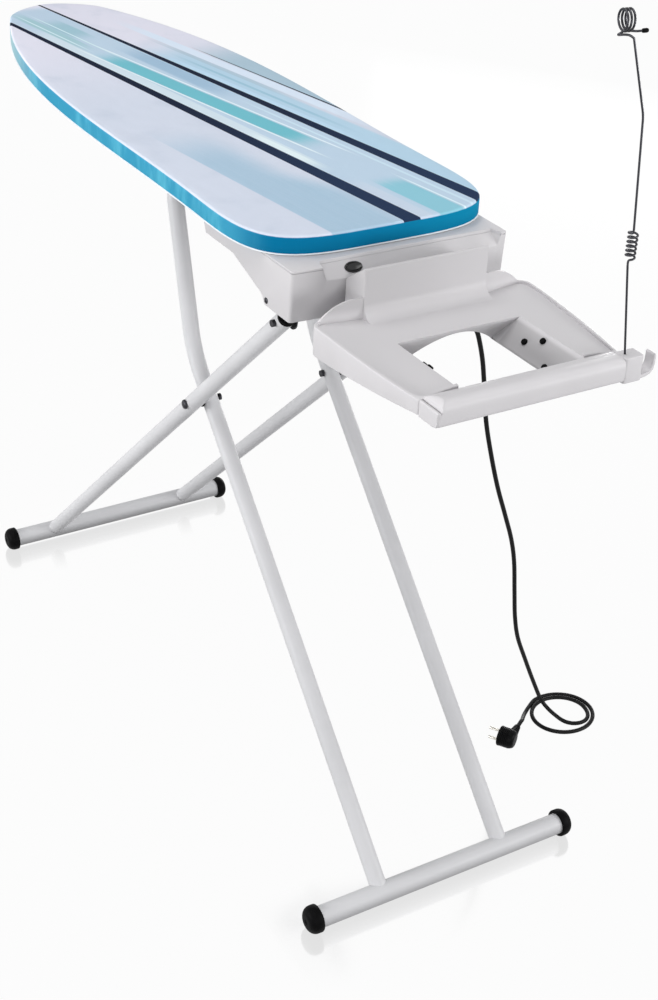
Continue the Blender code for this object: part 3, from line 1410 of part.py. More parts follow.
def add_upstand(tray):
    """Hollow upstand in the middle of the back, open behind, with sockets for the two arms."""
    sheet = TRAY_SHEET
    root = TRAY_DECK_Z - sheet / 2
    half = UPSTAND_HALF
    front = UPSTAND_FRONT_X
    back = UPSTAND_BACK_X
    outside = [(front, root), (front, UPSTAND_TOP_Z - sheet / 2), (front - sheet / 2, UPSTAND_TOP_Z)]
    outside += [(front - sheet, UPSTAND_TOP_Z), (back, UPSTAND_BACK_Z), (back, root)]
    combine(tray, add_body("upstand_outside", prism_y(outside, -half, half)), "UNION")
    inside = [(front - sheet, root - sheet), (front - sheet, UPSTAND_TOP_Z - sheet)]
    inside += [(back - sheet, UPSTAND_BACK_Z - sheet * 2), (back - sheet, root - sheet)]
    combine(tray, add_body("upstand_inside", prism_y(inside, sheet - half, half - sheet)))
    for label, side in (("left", -1), ("right", 1)):
        end = UPSTAND_FRONT_X - sheet / 2
        place = (end - ARM_BOSS_LENGTH, side * ARM_Y, ARM_Z)
        outer = ARM_RADIUS + ARM_BOSS_WALL
        boss = pipe(outer, ARM_BOSS_WALL - SEAT, ARM_BOSS_LENGTH)
        combine(tray, add_body("arm_boss_" + label, boss, None, place, towards((1, 0, 0))), "UNION")


def make_arm(name, side):
    """Steel tube that carries the rest, from inside the housing into the rest's socket."""
    length = UPSTAND_FRONT_X - TRAY_SHEET - SEAT - ARM_START_X
    place = (ARM_START_X, side * ARM_Y, ARM_Z)
    return add_body(name, pipe(ARM_RADIUS, ARM_WALL, length), "zinc_steel", place, towards((1, 0, 0)))


def make_tray_pad(name, along_share, slope_share, side):
    """Rubber stud on a sloping ledge."""
    x = TRAY_OPENING_BACK_X + (TRAY_OPENING_FRONT_X - TRAY_OPENING_BACK_X) * along_share
    y, z = ledge_point(slope_share, side)
    run = TRAY_OPENING_HALF - TRAY_LEDGE_HALF
    normal = Vector((0, -side * TRAY_LEDGE_DROP, run)).normalized()
    profile = ((PAD_RADIUS, SEAT), (PAD_RADIUS, PAD_HEIGHT / 2), (PAD_RADIUS * 2 / 3, PAD_HEIGHT))
    return add_body(name, turned(profile, SMALL_STEPS + 4), "black_rubber", (x, y, z), towards(normal))


def make_rail():
    """Front rail: a shallow roll that rises from the deck, with a softly rounded left end."""
    back = TRAY_FRONT_X + SEAT
    rounding = RAIL_END_ROUNDING
    stations = []
    for i in range(4):
        angle = math.pi / 2 * i / 3
        stations.append((RAIL_LEFT_Y + rounding * (1 - math.cos(angle)), rounding * (1 - math.sin(angle))))
    stations.append((RAIL_RIGHT_Y, 0))
    rings = []
    for y, inset in stations:
        wide = RAIL_FRONT_X - back - inset
        low = RAIL_BOTTOM_Z + inset / 4
        high = RAIL_TOP_Z - inset
        rings.append([(back + wide * x, y, low + (high - low) * z) for x, z in RAIL_SECTION_shares])
    return add_body("front_rail", skin(rings), "white_plastic")


def make_hook():
    """Block on the rail's right end, with the wire's socket, and a hook that turns up beside it."""
    block_low = (BLOCK_BACK_X, RAIL_RIGHT_Y + SEAT, BLOCK_BOTTOM_Z)
    block_high = (BLOCK_FRONT_X, BLOCK_RIGHT_Y, BLOCK_TOP_Z)
    hook = add_body("cord_hook", box(block_low, block_high), "white_plastic")
    soften(hook, HOOK_THICK / 2, 2)
    thick = HOOK_THICK
    root = BLOCK_RIGHT_Y - thick
    reach = HOOK_REACH_Y
    section = [
        (root, HOOK_LOW_Z - thick),
        (BLOCK_RIGHT_Y + thick, HOOK_LOW_Z - thick / 2),
        (reach - thick, HOOK_LOW_Z + thick / 2),
        (reach - thick / 3, HOOK_LOW_Z + thick * 3 / 2),
        (reach + HOOK_LEAN / 4, HOOK_TIP_Z - thick / 3),
        (reach - thick / 2, HOOK_TIP_Z),
        (reach - thick, HOOK_TIP_Z - thick / 3),
        (reach - thick - HOOK_LEAN / 2, HOOK_LOW_Z + thick * 2),
        (BLOCK_RIGHT_Y + thick, HOOK_LOW_Z + thick),
        (root, HOOK_LOW_Z + thick / 2),
    ]
    combine(hook, add_body("hook_tongue", prism_x(section, HOOK_BACK_X, HOOK_FRONT_X)), "UNION")
    depth = POLE_SOCKET + SEAT
    socket = rod(WIRE_RADIUS + POLE_SOCKET_GAP, depth + OVERRUN, SMALL_STEPS)
    combine(hook, add_body("pole_socket", socket, None, POLE_FOOT - POLE_LINE * depth, towards(POLE_LINE)))
    return hook


def make_pole():
    """Straight lower wire of the cord holder, turning in its socket."""
    length = POLE_SOCKET + POLE_LENGTH - FLEX_GAP / 2
    start = POLE_FOOT - POLE_LINE * POLE_SOCKET
    pole = rod(WIRE_RADIUS, length, SMALL_STEPS)
    return add_body("holder_pole", pole, "spring_steel", start, towards(POLE_LINE))


def coil_in(path, angle):
    """Lead the wire from straight up into the coil: returns the coil's centre and starting height."""
    ahead = Vector((-math.sin(angle), math.cos(angle), 0))
    turn = WIRE_TURN_IN
    corner = path[-1]
    for share in (1 / 3, 2 / 3):
        bend = math.pi / 2 * share
        path.append(corner + ahead * turn * (1 - math.cos(bend)) + Vector((0, 0, turn * math.sin(bend))))
    out = Vector((math.cos(angle), math.sin(angle), 0))
    return corner + ahead * turn - out * COIL_RADIUS + Vector((0, 0, turn))


def holder_path():
    """Upper wire about the flex point: a stub, the coil's turns, a kinked run and the looped eye."""
    path = [Vector((0, 0, FLEX_GAP / 2)), Vector((0, 0, FLEX_GAP / 2 + FLEX_STUB))]
    centre = coil_in(path, COIL_START)
    count = round(COIL_TURNS * CURL_POINTS)
    for i in range(count + 1):
        angle = COIL_START + math.tau * i / CURL_POINTS
        out = Vector((math.cos(angle), math.sin(angle), 0))
        path.append(centre + out * COIL_RADIUS + Vector((0, 0, COIL_PITCH * i / CURL_POINTS)))
    ahead = Vector((-math.sin(angle), math.cos(angle), 0))
    last = path[-1]
    for share in (1 / 3, 2 / 3, 1):
        bend = math.pi / 2 * share
        rise = Vector((0, 0, WIRE_TURN_IN * (1 - math.cos(bend))))
        path.append(last + ahead * WIRE_TURN_IN * math.sin(bend) + rise)
    eye = eye_path()
    kink = Vector((POLE_X, KINK_Y, KINK_Z)) - FLEX
    path += bent_path([path[-1] + Vector((0, 0, FLEX_STUB)), kink, eye[0]], [KINK_ROUNDING], 3)[:-1]
    return path + eye


def eye_path():
    """The looped eye: the wire passes under its turns, winds back over itself and ends beside its start."""
    along = Vector((math.sin(EYE_YAW), math.cos(EYE_YAW), 0))
    across = Vector((math.cos(EYE_YAW), -math.sin(EYE_YAW), 0))
    up = Vector((0, 0, 1))
    foot = Vector((POLE_X, EYE_Y, EYE_Z)) - FLEX
    path = [foot + along * a + across * b + up * c for a, b, c in EYE_LEAD]
    count = round(EYE_TURNS * EYE_POINTS)
    for i in range(count + 1):
        angle = EYE_START + math.tau * i / EYE_POINTS
        side = across * (EYE_RADIUS * math.sin(angle))
        rise = up * (EYE_RADIUS * (1 - math.cos(angle)))
        path.append(foot + side + rise + along * (EYE_PITCH * i / EYE_POINTS))
    return path + [foot + along * a + across * b + up * c for a, b, c in EYE_END]


def make_holder_wire():
    """Upper wire of the cord holder, one unbroken tube that flexes at its coil."""
    path = holder_path()
    print("cord holder wire, least gap:", least_gap(path, WIRE_RADIUS, CURL_POINTS - 4))
    return add_body("holder_wire", sweep(path, WIRE_RADIUS, 6), "spring_steel", FLEX), path


def make_holder_tip(path):
    """Black bead that closes the eye's free end."""
    ahead = (path[-1] - path[-2]).normalized()
    place = FLEX + path[-1] + ahead * SEAT
    profile = (
        (TIP_RADIUS / 2, 0),
        (TIP_RADIUS, TIP_LENGTH / 4),
        (TIP_RADIUS, TIP_LENGTH * 3 / 4),
        (TIP_RADIUS / 2, TIP_LENGTH),
    )
    return add_body("holder_tip", turned(profile, SMALL_STEPS), "black_plastic", place, towards(ahead))


def make_relief():
    """Tapered strain relief through the housing's floor, with its collar inside."""
    collar = HOUSING_WALL + RELIEF_COLLAR_HEIGHT + SEAT
    profile = [
        (RELIEF_END_RADIUS, -RELIEF_LENGTH + SEAT),
        (RELIEF_TOP_RADIUS, -SEAT),
        (RELIEF_TOP_RADIUS, HOUSING_WALL + SEAT),
        (RELIEF_COLLAR, HOUSING_WALL + SEAT),
        (RELIEF_COLLAR, collar),
    ]
    place = (RELIEF_X, RELIEF_Y, HOUSING_DEEP_Z)
    return add_body("strain_relief", turned(profile, SMALL_STEPS + 4), "black_rubber", place)


def smooth_route(route, count):
    """Points evenly spaced along a smooth curve through the route's own points."""
    dense = []
    points = [Vector(point) for point in route]
    steps = 12
    for i in range(len(points) - 1):
        before = points[max(i - 1, 0)]
        after = points[min(i + 2, len(points) - 1)]
        for step in range(steps):
            t = step / steps
            a = points[i] * 2
            b = (points[i + 1] - before) * t
            c = (before * 2 - points[i] * 5 + points[i + 1] * 4 - after) * t ** 2
            d = (points[i] * 3 - before - points[i + 1] * 3 + after) * t ** 3
            dense.append((a + b + c + d) / 2)
    dense.append(points[-1])
    lengths = [0]
    for near, far in zip(dense, dense[1:]):
        lengths.append(lengths[-1] + (far - near).length)
    even = []
    j = 0
    for i in range(count):
        target = lengths[-1] * i / (count - 1)
        while j < len(lengths) - 2 and lengths[j + 1] < target:
            j += 1
        share = (target - lengths[j]) / (lengths[j + 1] - lengths[j])
        even.append(dense[j].lerp(dense[j + 1], share))
    return even, lengths[-1]


def make_cord():
    """Mains cord: hangs from the strain relief and lies in a double loop that ends in the plug."""
    points, length = smooth_route(CORD_ROUTE, CORD_POINTS)
    print("mains cord, length:", length, "least gap:", least_gap(points, CORD_RADIUS, 6))
    curve = bpy.data.curves.new("mains_cord", "CURVE")
    curve.dimensions = "3D"
    curve.bevel_depth = CORD_RADIUS
    curve.bevel_resolution = CORD_SIDES_RESOLUTION
    curve.use_fill_caps = True
    spline = curve.splines.new("POLY")
    spline.points.add(len(points) - 1)
    for item, point in zip(spline.points, points):
        item.co = (*point, 1)
    cord = bpy.data.objects.new("mains_cord", curve)
    bpy.context.scene.collection.objects.link(cord)
    add_finish(cord, "black_plastic")
    return points


def make_plug(points):
    """Two-pin plug lying on the floor: the cord enters its side, one pin stands above the other."""
    ahead = points[-1] - points[-2]
    ahead.z = 0
    ahead.normalize()
    out = Vector((ahead.y, -ahead.x, 0))
    start = points[-1] + ahead * SEAT
    middle = points[-1] + ahead * PLUG_REACH + out * PLUG_BEHIND_CORD
    turn = towards(out)
    radius = PLUG_RADIUS
    back = PLUG_BACK
    profile = (
        (PLUG_BACK_RADIUS, -back),
        ((PLUG_BACK_RADIUS + radius) / 2, -back * 7 / 8),
        (radius, -back / 3),
        (radius, PLUG_FACE - PLUG_PIN_RADIUS / 2),
        (radius - PLUG_PIN_RADIUS / 2, PLUG_FACE),
    )
    plug = add_body("mains_plug", turned(profile, ROUND_STEPS + 4), "black_plastic", middle, turn)
    neck = (
        (PLUG_NECK_RADIUS, 0),
        ((PLUG_NECK_RADIUS + PLUG_NECK_ROOT) / 2, PLUG_NECK * 3 / 4),
        (PLUG_NECK_ROOT, PLUG_NECK),
        (PLUG_NECK_ROOT, PLUG_REACH - PLUG_NECK_RADIUS),
    )
    combine(plug, add_body("plug_neck", turned(neck), None, start, towards(ahead)), "UNION")
    depth = PLUG_PIN_SEAT
    for label, side in (("upper", 1), ("lower", -1)):
        face = middle + out * PLUG_FACE + Vector((0, 0, side * PLUG_PIN_HALF_PITCH))
        bored = PLUG_PIN_RADIUS + SEAT
        combine(plug, bore("pin_hole_" + label, face, out, bored, 2 * depth, SMALL_STEPS))
        length = depth + PLUG_PIN_LENGTH
        tip = PLUG_PIN_RADIUS / 2
        pin = turned(((PLUG_PIN_RADIUS, SEAT), (PLUG_PIN_RADIUS, length - tip), (tip, length)), SMALL_STEPS)
        add_body("plug_pin_" + label, pin, "nickel", face - out * depth, turn)


def build_board():
    make_cover()
    make_pad()
    make_deck()
    make_pan()


def build_fan_unit():
    make_housing()
    make_lid()
    make_scroll()
    make_motor()
    hang(add_pivot("fan_axis", (FAN_X, 0, HOUSING_SHALLOW_Z)), make_impeller(), make_shaft())
    make_switch_bezel()
    make_rocker()
    make_switch_body()
    for label, side in (("left", -1), ("right", 1)):
        make_side_screw("side_screw_" + label, side)
        make_bracket("hinge_bracket_" + label, side)


def build_legs():
    outer = add_pivot("outer_legs_axis", HINGE)
    inner = add_pivot("inner_legs_axis", PIVOT)
    hang(outer, make_axle(), make_foot_bar("outer_foot_bar", OUTER_FOOT))
    hang(inner, make_inner_frame(), make_foot_bar("inner_foot_bar", INNER_FOOT))
    for label, side in (("left", -1), ("right", 1)):
        hang(outer, make_outer_leg("outer_leg_" + label, side), make_leg_plug("leg_plug_" + label, side))
        hang(outer, *make_pivot_fasteners(label, side))
        hang(outer, make_foot_cap("outer_foot_cap_" + label, OUTER_FOOT, side))
        hang(inner, make_foot_cap("inner_foot_cap_" + label, INNER_FOOT, side))


def build_height_clamp():
    make_guide_channel()
    make_lever_pin()
    make_lever_spring()
    release = add_pivot("release_lever_axis", LEVER_PIN)
    hang(release, make_clamp_lever(), make_release_rod(), make_release_grip())


def build_iron_rest():
    make_tray()
    make_rail()
    make_hook()
    for label, side in (("left", -1), ("right", 1)):
        make_arm("tray_arm_" + label, side)
        for i, (along_share, slope_share) in enumerate(PAD_PLACE_shares):
            make_tray_pad("tray_pad_" + label + "_" + str(i + 1), along_share, slope_share, side)


def build_cord_holder():
    make_pole()
    wire, path = make_holder_wire()
    hang(add_pivot("holder_flex_axis", FLEX), wire, make_holder_tip(path))


def build_mains_cord():
    make_relief()
    make_plug(make_cord())


clear_scene()
build_board()
build_fan_unit()
build_legs()
build_height_clamp()
build_iron_rest()
build_cord_holder()
build_mains_cord()
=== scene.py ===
"""Looks of a vacuum ironing table: fine pieces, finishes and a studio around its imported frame.

Metres, +Z up, +X from the board's nose to the iron rest, floor at zero.
"""

import json
import math
from contextlib import contextmanager

import bmesh
import bpy
from mathutils import Matrix, Quaternion, Vector, noise

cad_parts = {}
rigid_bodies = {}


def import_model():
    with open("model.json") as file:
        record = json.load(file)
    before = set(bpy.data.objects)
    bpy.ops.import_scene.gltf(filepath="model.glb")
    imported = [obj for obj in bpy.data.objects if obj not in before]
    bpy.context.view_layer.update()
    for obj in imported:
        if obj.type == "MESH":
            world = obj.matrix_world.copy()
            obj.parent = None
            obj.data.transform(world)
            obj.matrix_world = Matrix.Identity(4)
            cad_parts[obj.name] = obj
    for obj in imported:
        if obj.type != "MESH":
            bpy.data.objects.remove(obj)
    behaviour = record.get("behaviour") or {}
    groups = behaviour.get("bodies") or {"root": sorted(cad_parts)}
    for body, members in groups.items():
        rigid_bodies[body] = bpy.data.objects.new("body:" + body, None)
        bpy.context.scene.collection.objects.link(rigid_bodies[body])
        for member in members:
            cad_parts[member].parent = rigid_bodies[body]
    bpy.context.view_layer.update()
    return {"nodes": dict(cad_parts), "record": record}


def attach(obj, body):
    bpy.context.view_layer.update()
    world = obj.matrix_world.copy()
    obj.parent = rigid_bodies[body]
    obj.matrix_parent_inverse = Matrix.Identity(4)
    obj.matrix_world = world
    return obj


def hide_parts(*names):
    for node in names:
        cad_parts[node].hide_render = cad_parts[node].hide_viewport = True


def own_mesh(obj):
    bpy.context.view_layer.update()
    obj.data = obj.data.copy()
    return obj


bl_info = {
    "name": "Vacuum ironing table",
    "version": (1, 0, 0),
    "blender": (4, 5, 0),
    "location": "View3D > Sidebar > Ironing table",
    "description": "Models a vacuum ironing table, its finishes and its studio",
    "category": "Add Mesh",
}

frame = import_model()

# Board outline and cover
BOARD_LENGTH = 1.168
BOARD_HALF = 0.190
NOSE_X = -0.755
BOARD_TOP = 0.950
FLANK_SHARES = (0.994, 0.1106, -1.167, 2.548)
NOSE_ROUNDING = 0.054
NOSE_POWER = 1.9
END_ROUNDING = 0.2345
END_POWER = 4.0
COVER_BOTTOM = 0.9228
HEM = 0.022
TOP_ROUNDING = (0.0052, 0.0046)
LOWER_ROUNDING = 0.0038
CLOTH = 0.0011
UNEVENNESS = 0.00045
PUCKER_DEPTH = 0.00035
FELT_TOP = 0.9482
FELT_ROUNDING = 0.0032

# Room between pieces that touch
GAP = 0.0003

# Legs
LEG_RADIUS = 0.0127
OUTER_LEG_Y = 0.136
INNER_LEG_Y = 0.107
BAR_RADIUS = 0.016
BAR_HALF = 0.2215
CAP_RADIUS = 0.021
CAP_LENGTH = 0.020
CAP_GRIP = 0.009
FOOT_Z = CAP_RADIUS * math.cos(math.pi / 16)
HINGE = Vector((0.371, 0, 0.818))
OUTER_FOOT = Vector((-0.482, 0, FOOT_Z))
INNER_FOOT = Vector((0.660, 0, FOOT_Z))
OUTER_LINE = (HINGE - OUTER_FOOT).normalized()
PIVOT = HINGE - OUTER_LINE * 0.3594
BEND = PIVOT + (PIVOT - INNER_FOOT).normalized() * 0.078
BEND_RADIUS = 0.150
CROSSBAR = Vector((-0.019, 0, 0.890))
CROSSBAR_CORNER = 0.042
LEG_PAST_HINGE = 0.012
BOLT_BORE = 0.0033
SPACER_RADIUS = 0.0095

# Fan housing
HOUSING_HALF = 0.1676
HOUSING_TOP = 0.9190
LID_BOTTOM = 0.9193
LID_TOP = 0.9223
HOUSING_REAR = 0.190
HOUSING_FRONT = 0.445
HOUSING_BOW = 0.006
BOW_FROM = (0.405, 0.3175)
HOUSING_SHALLOW = 0.889
HOUSING_DEEP = 0.850
WALL = 0.0028
FAN_X = 0.300
DOME_RADIUS = 0.054
DOME_BOTTOM = 0.835
DOME_ROUNDING = 0.006
ARM_BORE = 0.0083
INTAKE_RADIUS = 0.046
VENT_START = 0.212
VENT_PITCH = 0.011
VENT_WIDTH = 0.0045
VENT_HALF = 0.028
VENT_Y = 0.130
PANEL_TOP = Vector((0.4265, 0, LID_TOP))
PANEL_LOW = Vector((0.451, 0, 0.8995))
PANEL_SLOPE = (PANEL_TOP - PANEL_LOW).normalized()
PANEL_NORMAL = Vector((PANEL_SLOPE.z, 0, -PANEL_SLOPE.x))
PANEL_ENDS = (-0.118, 0.152)
PANEL_SLANT = 0.016
SWITCH = (PANEL_TOP + PANEL_LOW) / 2 + Vector((0, -0.0725, 0))
SWITCH_LENGTH = 0.0135
SWITCH_WIDTH = 0.0080
# The switch's frame: how far each ring lies inside its oval, and how far out of the panel
BEZEL_SECTION = (
    (0.0022, 0.0006), (0.0021, 0.0013), (0.0016, 0.0016), (0.0011, 0.0016), (0.0005, 0.0014),
    (0.0001, 0.0009), (0, 0.0004), (0.0012, 0.0003), (0.0015, -0.0028), (0.0022, -0.0028),
)
SCREW_RADIUS = 0.0042
SCREW_HEAD = 0.0016
SCREW_PLACE = (HOUSING_FRONT - 0.064, 0.858)

# Iron rest, front rail and hook
TRAY_BACK = 0.490
TRAY_FRONT = 0.7165
TRAY_HALF = (0.1675, 0.150)
TRAY_CORNER = 0.018
DECK_Z = 0.868
SHEET = 0.003
RIM_TOP = 0.872
RIM_WIDTH = 0.0045
SKIRT_BOTTOM = 0.832
SKIRT_RISE = 0.0135
ARM_DIP = 0.008
DIP_DIRECTION = Vector((0.774, 0.633))
DIP_CUTS_X = (0.53, 0.555, 0.58, 0.605, 0.63, 0.655, 0.68, 0.70)
DIP_CUTS_Y = (0.104, 0.116, 0.128, 0.140)
WELL_X = (0.582, 0.7125)
WELL_HALF = 0.094
LEDGE_HALF = 0.061
LEDGE_DROP = 0.033
LEDGE_EDGE_SHARE = 0.106
WALL_LOW = 0.835
ARCH_RISE = 0.0275
ARCH_HALF = 0.0655
WALL_LEAN = 0.0158
COVE = 0.022
UPSTAND = (0.458, 0.503)
UPSTAND_HALF = 0.0945
UPSTAND_TOP = 0.936
UPSTAND_BACK = 0.906
WING_TOP = 0.897
# Rubber studs, as shares along the well and up the ledge
STUDS = ((0.29, 0.48), (0.48, 0.77), (0.72, 0.20))
ARM_Y = 0.055
ARM_Z = 0.884
RAIL = (0.7168, 0.7565, 0.843, 0.876)
RAIL_Y = (-0.149, 0.1285)
RAIL_ROUNDING = 0.010
RAIL_SEAT = 0.8608
RAIL_LIP = (
    (0, 0.8615), (0.0004, 0.8635), (0.0012, 0.8645), (0.0034, 0.8645), (0.0042, 0.8635),
    (0.0047, 0.8615),
)
RAIL_SECTION = (
    (0, 0), (0.45, 0), (0.85, 0.01), (0.97, 0.10), (1, 0.28), (1, 0.62),
    (0.955, 0.82), (0.84, 0.95), (0.64, 1), (0.33, 0.93), (0, 0.76),
)
BLOCK = ((0.731, 0.1288, 0.8405), (0.755, 0.158, 0.8755))
TONGUE = (
    (0.1535, 0.8440), (0.159, 0.8440), (0.166, 0.8448), (0.1720, 0.8470),
    (0.1758, 0.8510), (0.1774, 0.857), (0.1778, 0.865), (0.1774, 0.8705),
)
TONGUE_X = (0.736, 0.7525)

# Height release
ROD = Vector((0.130, 0, 0.875))
ROD_RADIUS = 0.005
GRIP_ENDS = (0.096, 0.170)
GRIP_RIBS = 15
SPRING_X = 0.091
SPRING_RADIUS = 0.0055
SPRING_ENDS = (0.8780, 0.9213)
SPRING_TURNS = 7

# Cord holder's wire
WIRE_RADIUS = 0.0014
POLE_FOOT = Vector((0.742, 0.1365, 0.8755))
POLE_LEAN = math.radians(7.7)
POLE_LINE = Vector((0, -math.sin(POLE_LEAN), math.cos(POLE_LEAN)))
POLE_ROOT = 0.024
POLE_RISE = 0.1225
FLEX = POLE_FOOT + POLE_LINE * POLE_RISE
WIRE_BEND = 0.0026
KINK = Vector((POLE_FOOT.x, 0.1114, 1.180))
EYE_FOOT = Vector((POLE_FOOT.x, 0.0612, 1.2808))
COIL_RADIUS = 0.0056
COIL_PITCH = 0.0056
COIL_TURNS = 5.9
COIL_START = math.radians(-31)
EYE_RADIUS = 0.0120
EYE_PITCH = 0.0044
EYE_TURNS = 2.95
EYE_START = math.radians(40)
EYE_YAW = math.radians(9)
EYE_LEAD = (
    (0.0185, 0, -0.0088),
    (0.0125, 0, -0.0052),
    (0.0055, 0, -0.0040),
    (-0.0008, 0.0002, -0.0039),
    (-0.0036, 0.0024, -0.0026),
    (-0.0026, 0.0054, -0.0003),
)
EYE_END = ((0.0165, 0.0068, 0.0010), (0.0225, 0.0073, 0.0012))

# Mains cord, from the strain relief to its plug
RELIEF = Vector((0.425, 0.135, HOUSING_DEEP))
CORD_RADIUS = 0.0035
CORD_ROUTE = (
    (0.425, 0.135, 0.8155), (0.425, 0.1355, 0.802), (0.4248, 0.1425, 0.78),
    (0.4241, 0.152, 0.76), (0.4231, 0.1637, 0.7217), (0.4222, 0.1718, 0.6813),
    (0.4205, 0.1838, 0.6158), (0.4189, 0.2008, 0.5548), (0.4172, 0.2211, 0.4927),
    (0.4156, 0.243, 0.4364), (0.414, 0.262, 0.386), (0.4128, 0.2739, 0.34),
    (0.4106, 0.2835, 0.2812), (0.4086, 0.2925, 0.2276), (0.407, 0.3048, 0.1821),
    (0.4044, 0.328, 0.1296), (0.4017, 0.3514, 0.0793), (0.3977, 0.376, 0.0301),
    (0.3989, 0.3809, 0.0207), (0.4041, 0.3855, 0.0126), (0.4123, 0.3892, 0.0069),
    (0.4225, 0.3915, 0.0045), (0.4369, 0.3936, 0.0036), (0.4481, 0.3971, 0.0036),
    (0.4568, 0.4051, 0.0036), (0.4614, 0.4169, 0.0036), (0.4601, 0.43, 0.0036),
    (0.4527, 0.4409, 0.0036), (0.4397, 0.4482, 0.0036), (0.4235, 0.4509, 0.0036),
    (0.4073, 0.4467, 0.0036), (0.3936, 0.436, 0.0036), (0.3845, 0.4203, 0.0036),
    (0.3813, 0.4018, 0.0036), (0.3847, 0.383, 0.0036), (0.3944, 0.3669, 0.0036),
    (0.409, 0.3558, 0.0036), (0.4265, 0.3515, 0.0036), (0.4444, 0.3547, 0.0036),
    (0.4601, 0.3653, 0.0036), (0.4711, 0.3816, 0.0036), (0.4758, 0.4016, 0.0036),
    (0.4734, 0.4223, 0.0036), (0.4639, 0.4406, 0.0036), (0.4488, 0.4538, 0.0036),
    (0.4301, 0.4599, 0.0036), (0.4105, 0.4578, 0.0036), (0.3928, 0.4477, 0.0036),
    (0.3798, 0.4308, 0.0036), (0.3733, 0.4096, 0.0036), (0.3746, 0.3871, 0.0036),
    (0.3862, 0.3655, 0.0036), (0.3985, 0.3475, 0.004), (0.4105, 0.3345, 0.0082),
    (0.4195, 0.3262, 0.0138), (0.4246, 0.3198, 0.0168), (0.4284, 0.3142, 0.0172),
    (0.4317, 0.3091, 0.0172), (0.4344, 0.3049, 0.0172),
)
BOOT_LENGTH = 0.0300
PLUG_RADIUS = 0.0170
PIN_Z = 0.0095

# Camera
CAMERA_PLACE = (2.1638, -1.1793, 1.7761)
CAMERA_AXES = ((0.5106, 0.8587, 0.0441), (-0.4588, 0.2287, 0.8586), (0.7272, -0.4587, 0.5107))
CAMERA_LENS = 61.33

# Lamps: name, place, target, width and height, watts
LAMPS = (
    ("lamp overhead", (0.0, -0.5, 3.6), (0.1, 0, 0.8), (3.0, 2.4), 65),
    ("lamp at the left", (-0.8, -3.8, 1.0), (0, 0, 0.9), (3.2, 0.7), 112),
    ("lamp at the right", (2.2, 1.6, 1.05), (0.45, 0, 0.88), (1.6, 0.7), 38),
    ("lamp from the front", (2.8, -1.5, 1.1), (0.45, 0, 0.88), (1.2, 0.8), 24),
    ("lamp behind", (-2.2, 3.0, 0.35), (0, 0, 0.5), (2.4, 0.5), 34),
)
WHITE = (1, 1, 1, 1)
SURROUNDINGS = 0.29
FLOOR_MIRROR = 0.22
FLOOR_GLOW = 0.965

SIDES = (("left", -1), ("right", 1))


# ---- modelling by hand ----


def deselect():
    bpy.ops.object.select_all(action="DESELECT")


def choose(piece):
    deselect()
    piece.select_set(True)
    bpy.context.view_layer.objects.active = piece


def begin(primitive, name, **settings):
    """Add a primitive with nothing else selected, and name it."""
    deselect()
    primitive(**settings)
    piece = bpy.context.active_object
    piece.name = piece.data.name = name
    return piece


def disc(name, count, radius=1.0, filled=True):
    """A new piece that is one ring of vertices, with a face in it or without."""
    kind = "NGON" if filled else "NOTHING"
    add = bpy.ops.mesh.primitive_circle_add
    return begin(add, name, vertices=count, radius=radius, fill_type=kind)


def settle(piece, matrix=None):
    """Put the piece's place and turn into its mesh."""
    if matrix is not None:
        piece.matrix_world = matrix
    choose(piece)
    bpy.ops.object.transform_apply(location=True, rotation=True, scale=True)
    return piece


@contextmanager
def editing(piece):
    choose(piece)
    bpy.ops.object.mode_set(mode="EDIT")
    bpy.ops.mesh.select_mode(type="VERT")
    bpy.ops.mesh.select_all(action="SELECT")
    yield
    bpy.ops.object.mode_set(mode="OBJECT")


def pick(piece, kind, test):
    """Select the vertices, edges or faces that pass a test of their middle and themselves."""
    bpy.ops.mesh.select_all(action="DESELECT")
    bpy.ops.mesh.select_mode(type=kind)
    mesh = bmesh.from_edit_mesh(piece.data)
    for item in {"VERT": mesh.verts, "EDGE": mesh.edges, "FACE": mesh.faces}[kind]:
        points = [item.co] if kind == "VERT" else [vertex.co for vertex in item.verts]
        item.select_set(bool(test(sum(points, Vector()) / len(points), item)))
    mesh.select_flush_mode()
    bmesh.update_edit_mesh(piece.data)


def extrude(step):
    bpy.ops.mesh.extrude_region_move(TRANSFORM_OT_translate={"value": tuple(step)})


def face_out(piece, merge=True):
    """Merge doubles and turn all faces outwards."""
    with editing(piece):
        if merge:
            bpy.ops.mesh.remove_doubles(threshold=1e-6)
        bpy.ops.mesh.normals_make_consistent(inside=False)
    return piece


def towards(direction):
    """The turn that takes +Z to a direction."""
    return Vector((0, 0, 1)).rotation_difference(Vector(direction)).to_matrix().to_4x4()


def turned(name, profile, place=(0, 0, 0), direction=(0, 0, 1), steps=48, ring=False):
    """A round piece: a circle that is extruded and scaled along its (radius, height) profile."""
    radius, height = profile[0]
    start = height
    piece = disc(name, steps, radius, not ring)
    with editing(piece):
        for next_radius, next_height in profile[1:]:
            extrude((0, 0, next_height - height))
            share = next_radius / radius
            middle = (0, 0, next_height - start)
            bpy.ops.transform.resize(value=(share, share, 1), center_override=middle)
            radius, height = next_radius, next_height
    face_out(piece, merge=ring)
    lift = Matrix.Translation((0, 0, start))
    return settle(piece, Matrix.Translation(place) @ towards(direction) @ lift)


def slab(name, outline, axis, low, high):
    """A flat outline drawn out along an axis."""
    piece = disc(name, len(outline))
    for vertex, (a, b) in zip(piece.data.vertices, outline):
        vertex.co = {"X": (low, a, b), "Y": (a, low, b), "Z": (a, b, low)}[axis]
    with editing(piece):
        extrude([high - low if axis == letter else 0 for letter in "XYZ"])
    return face_out(piece, merge=False)


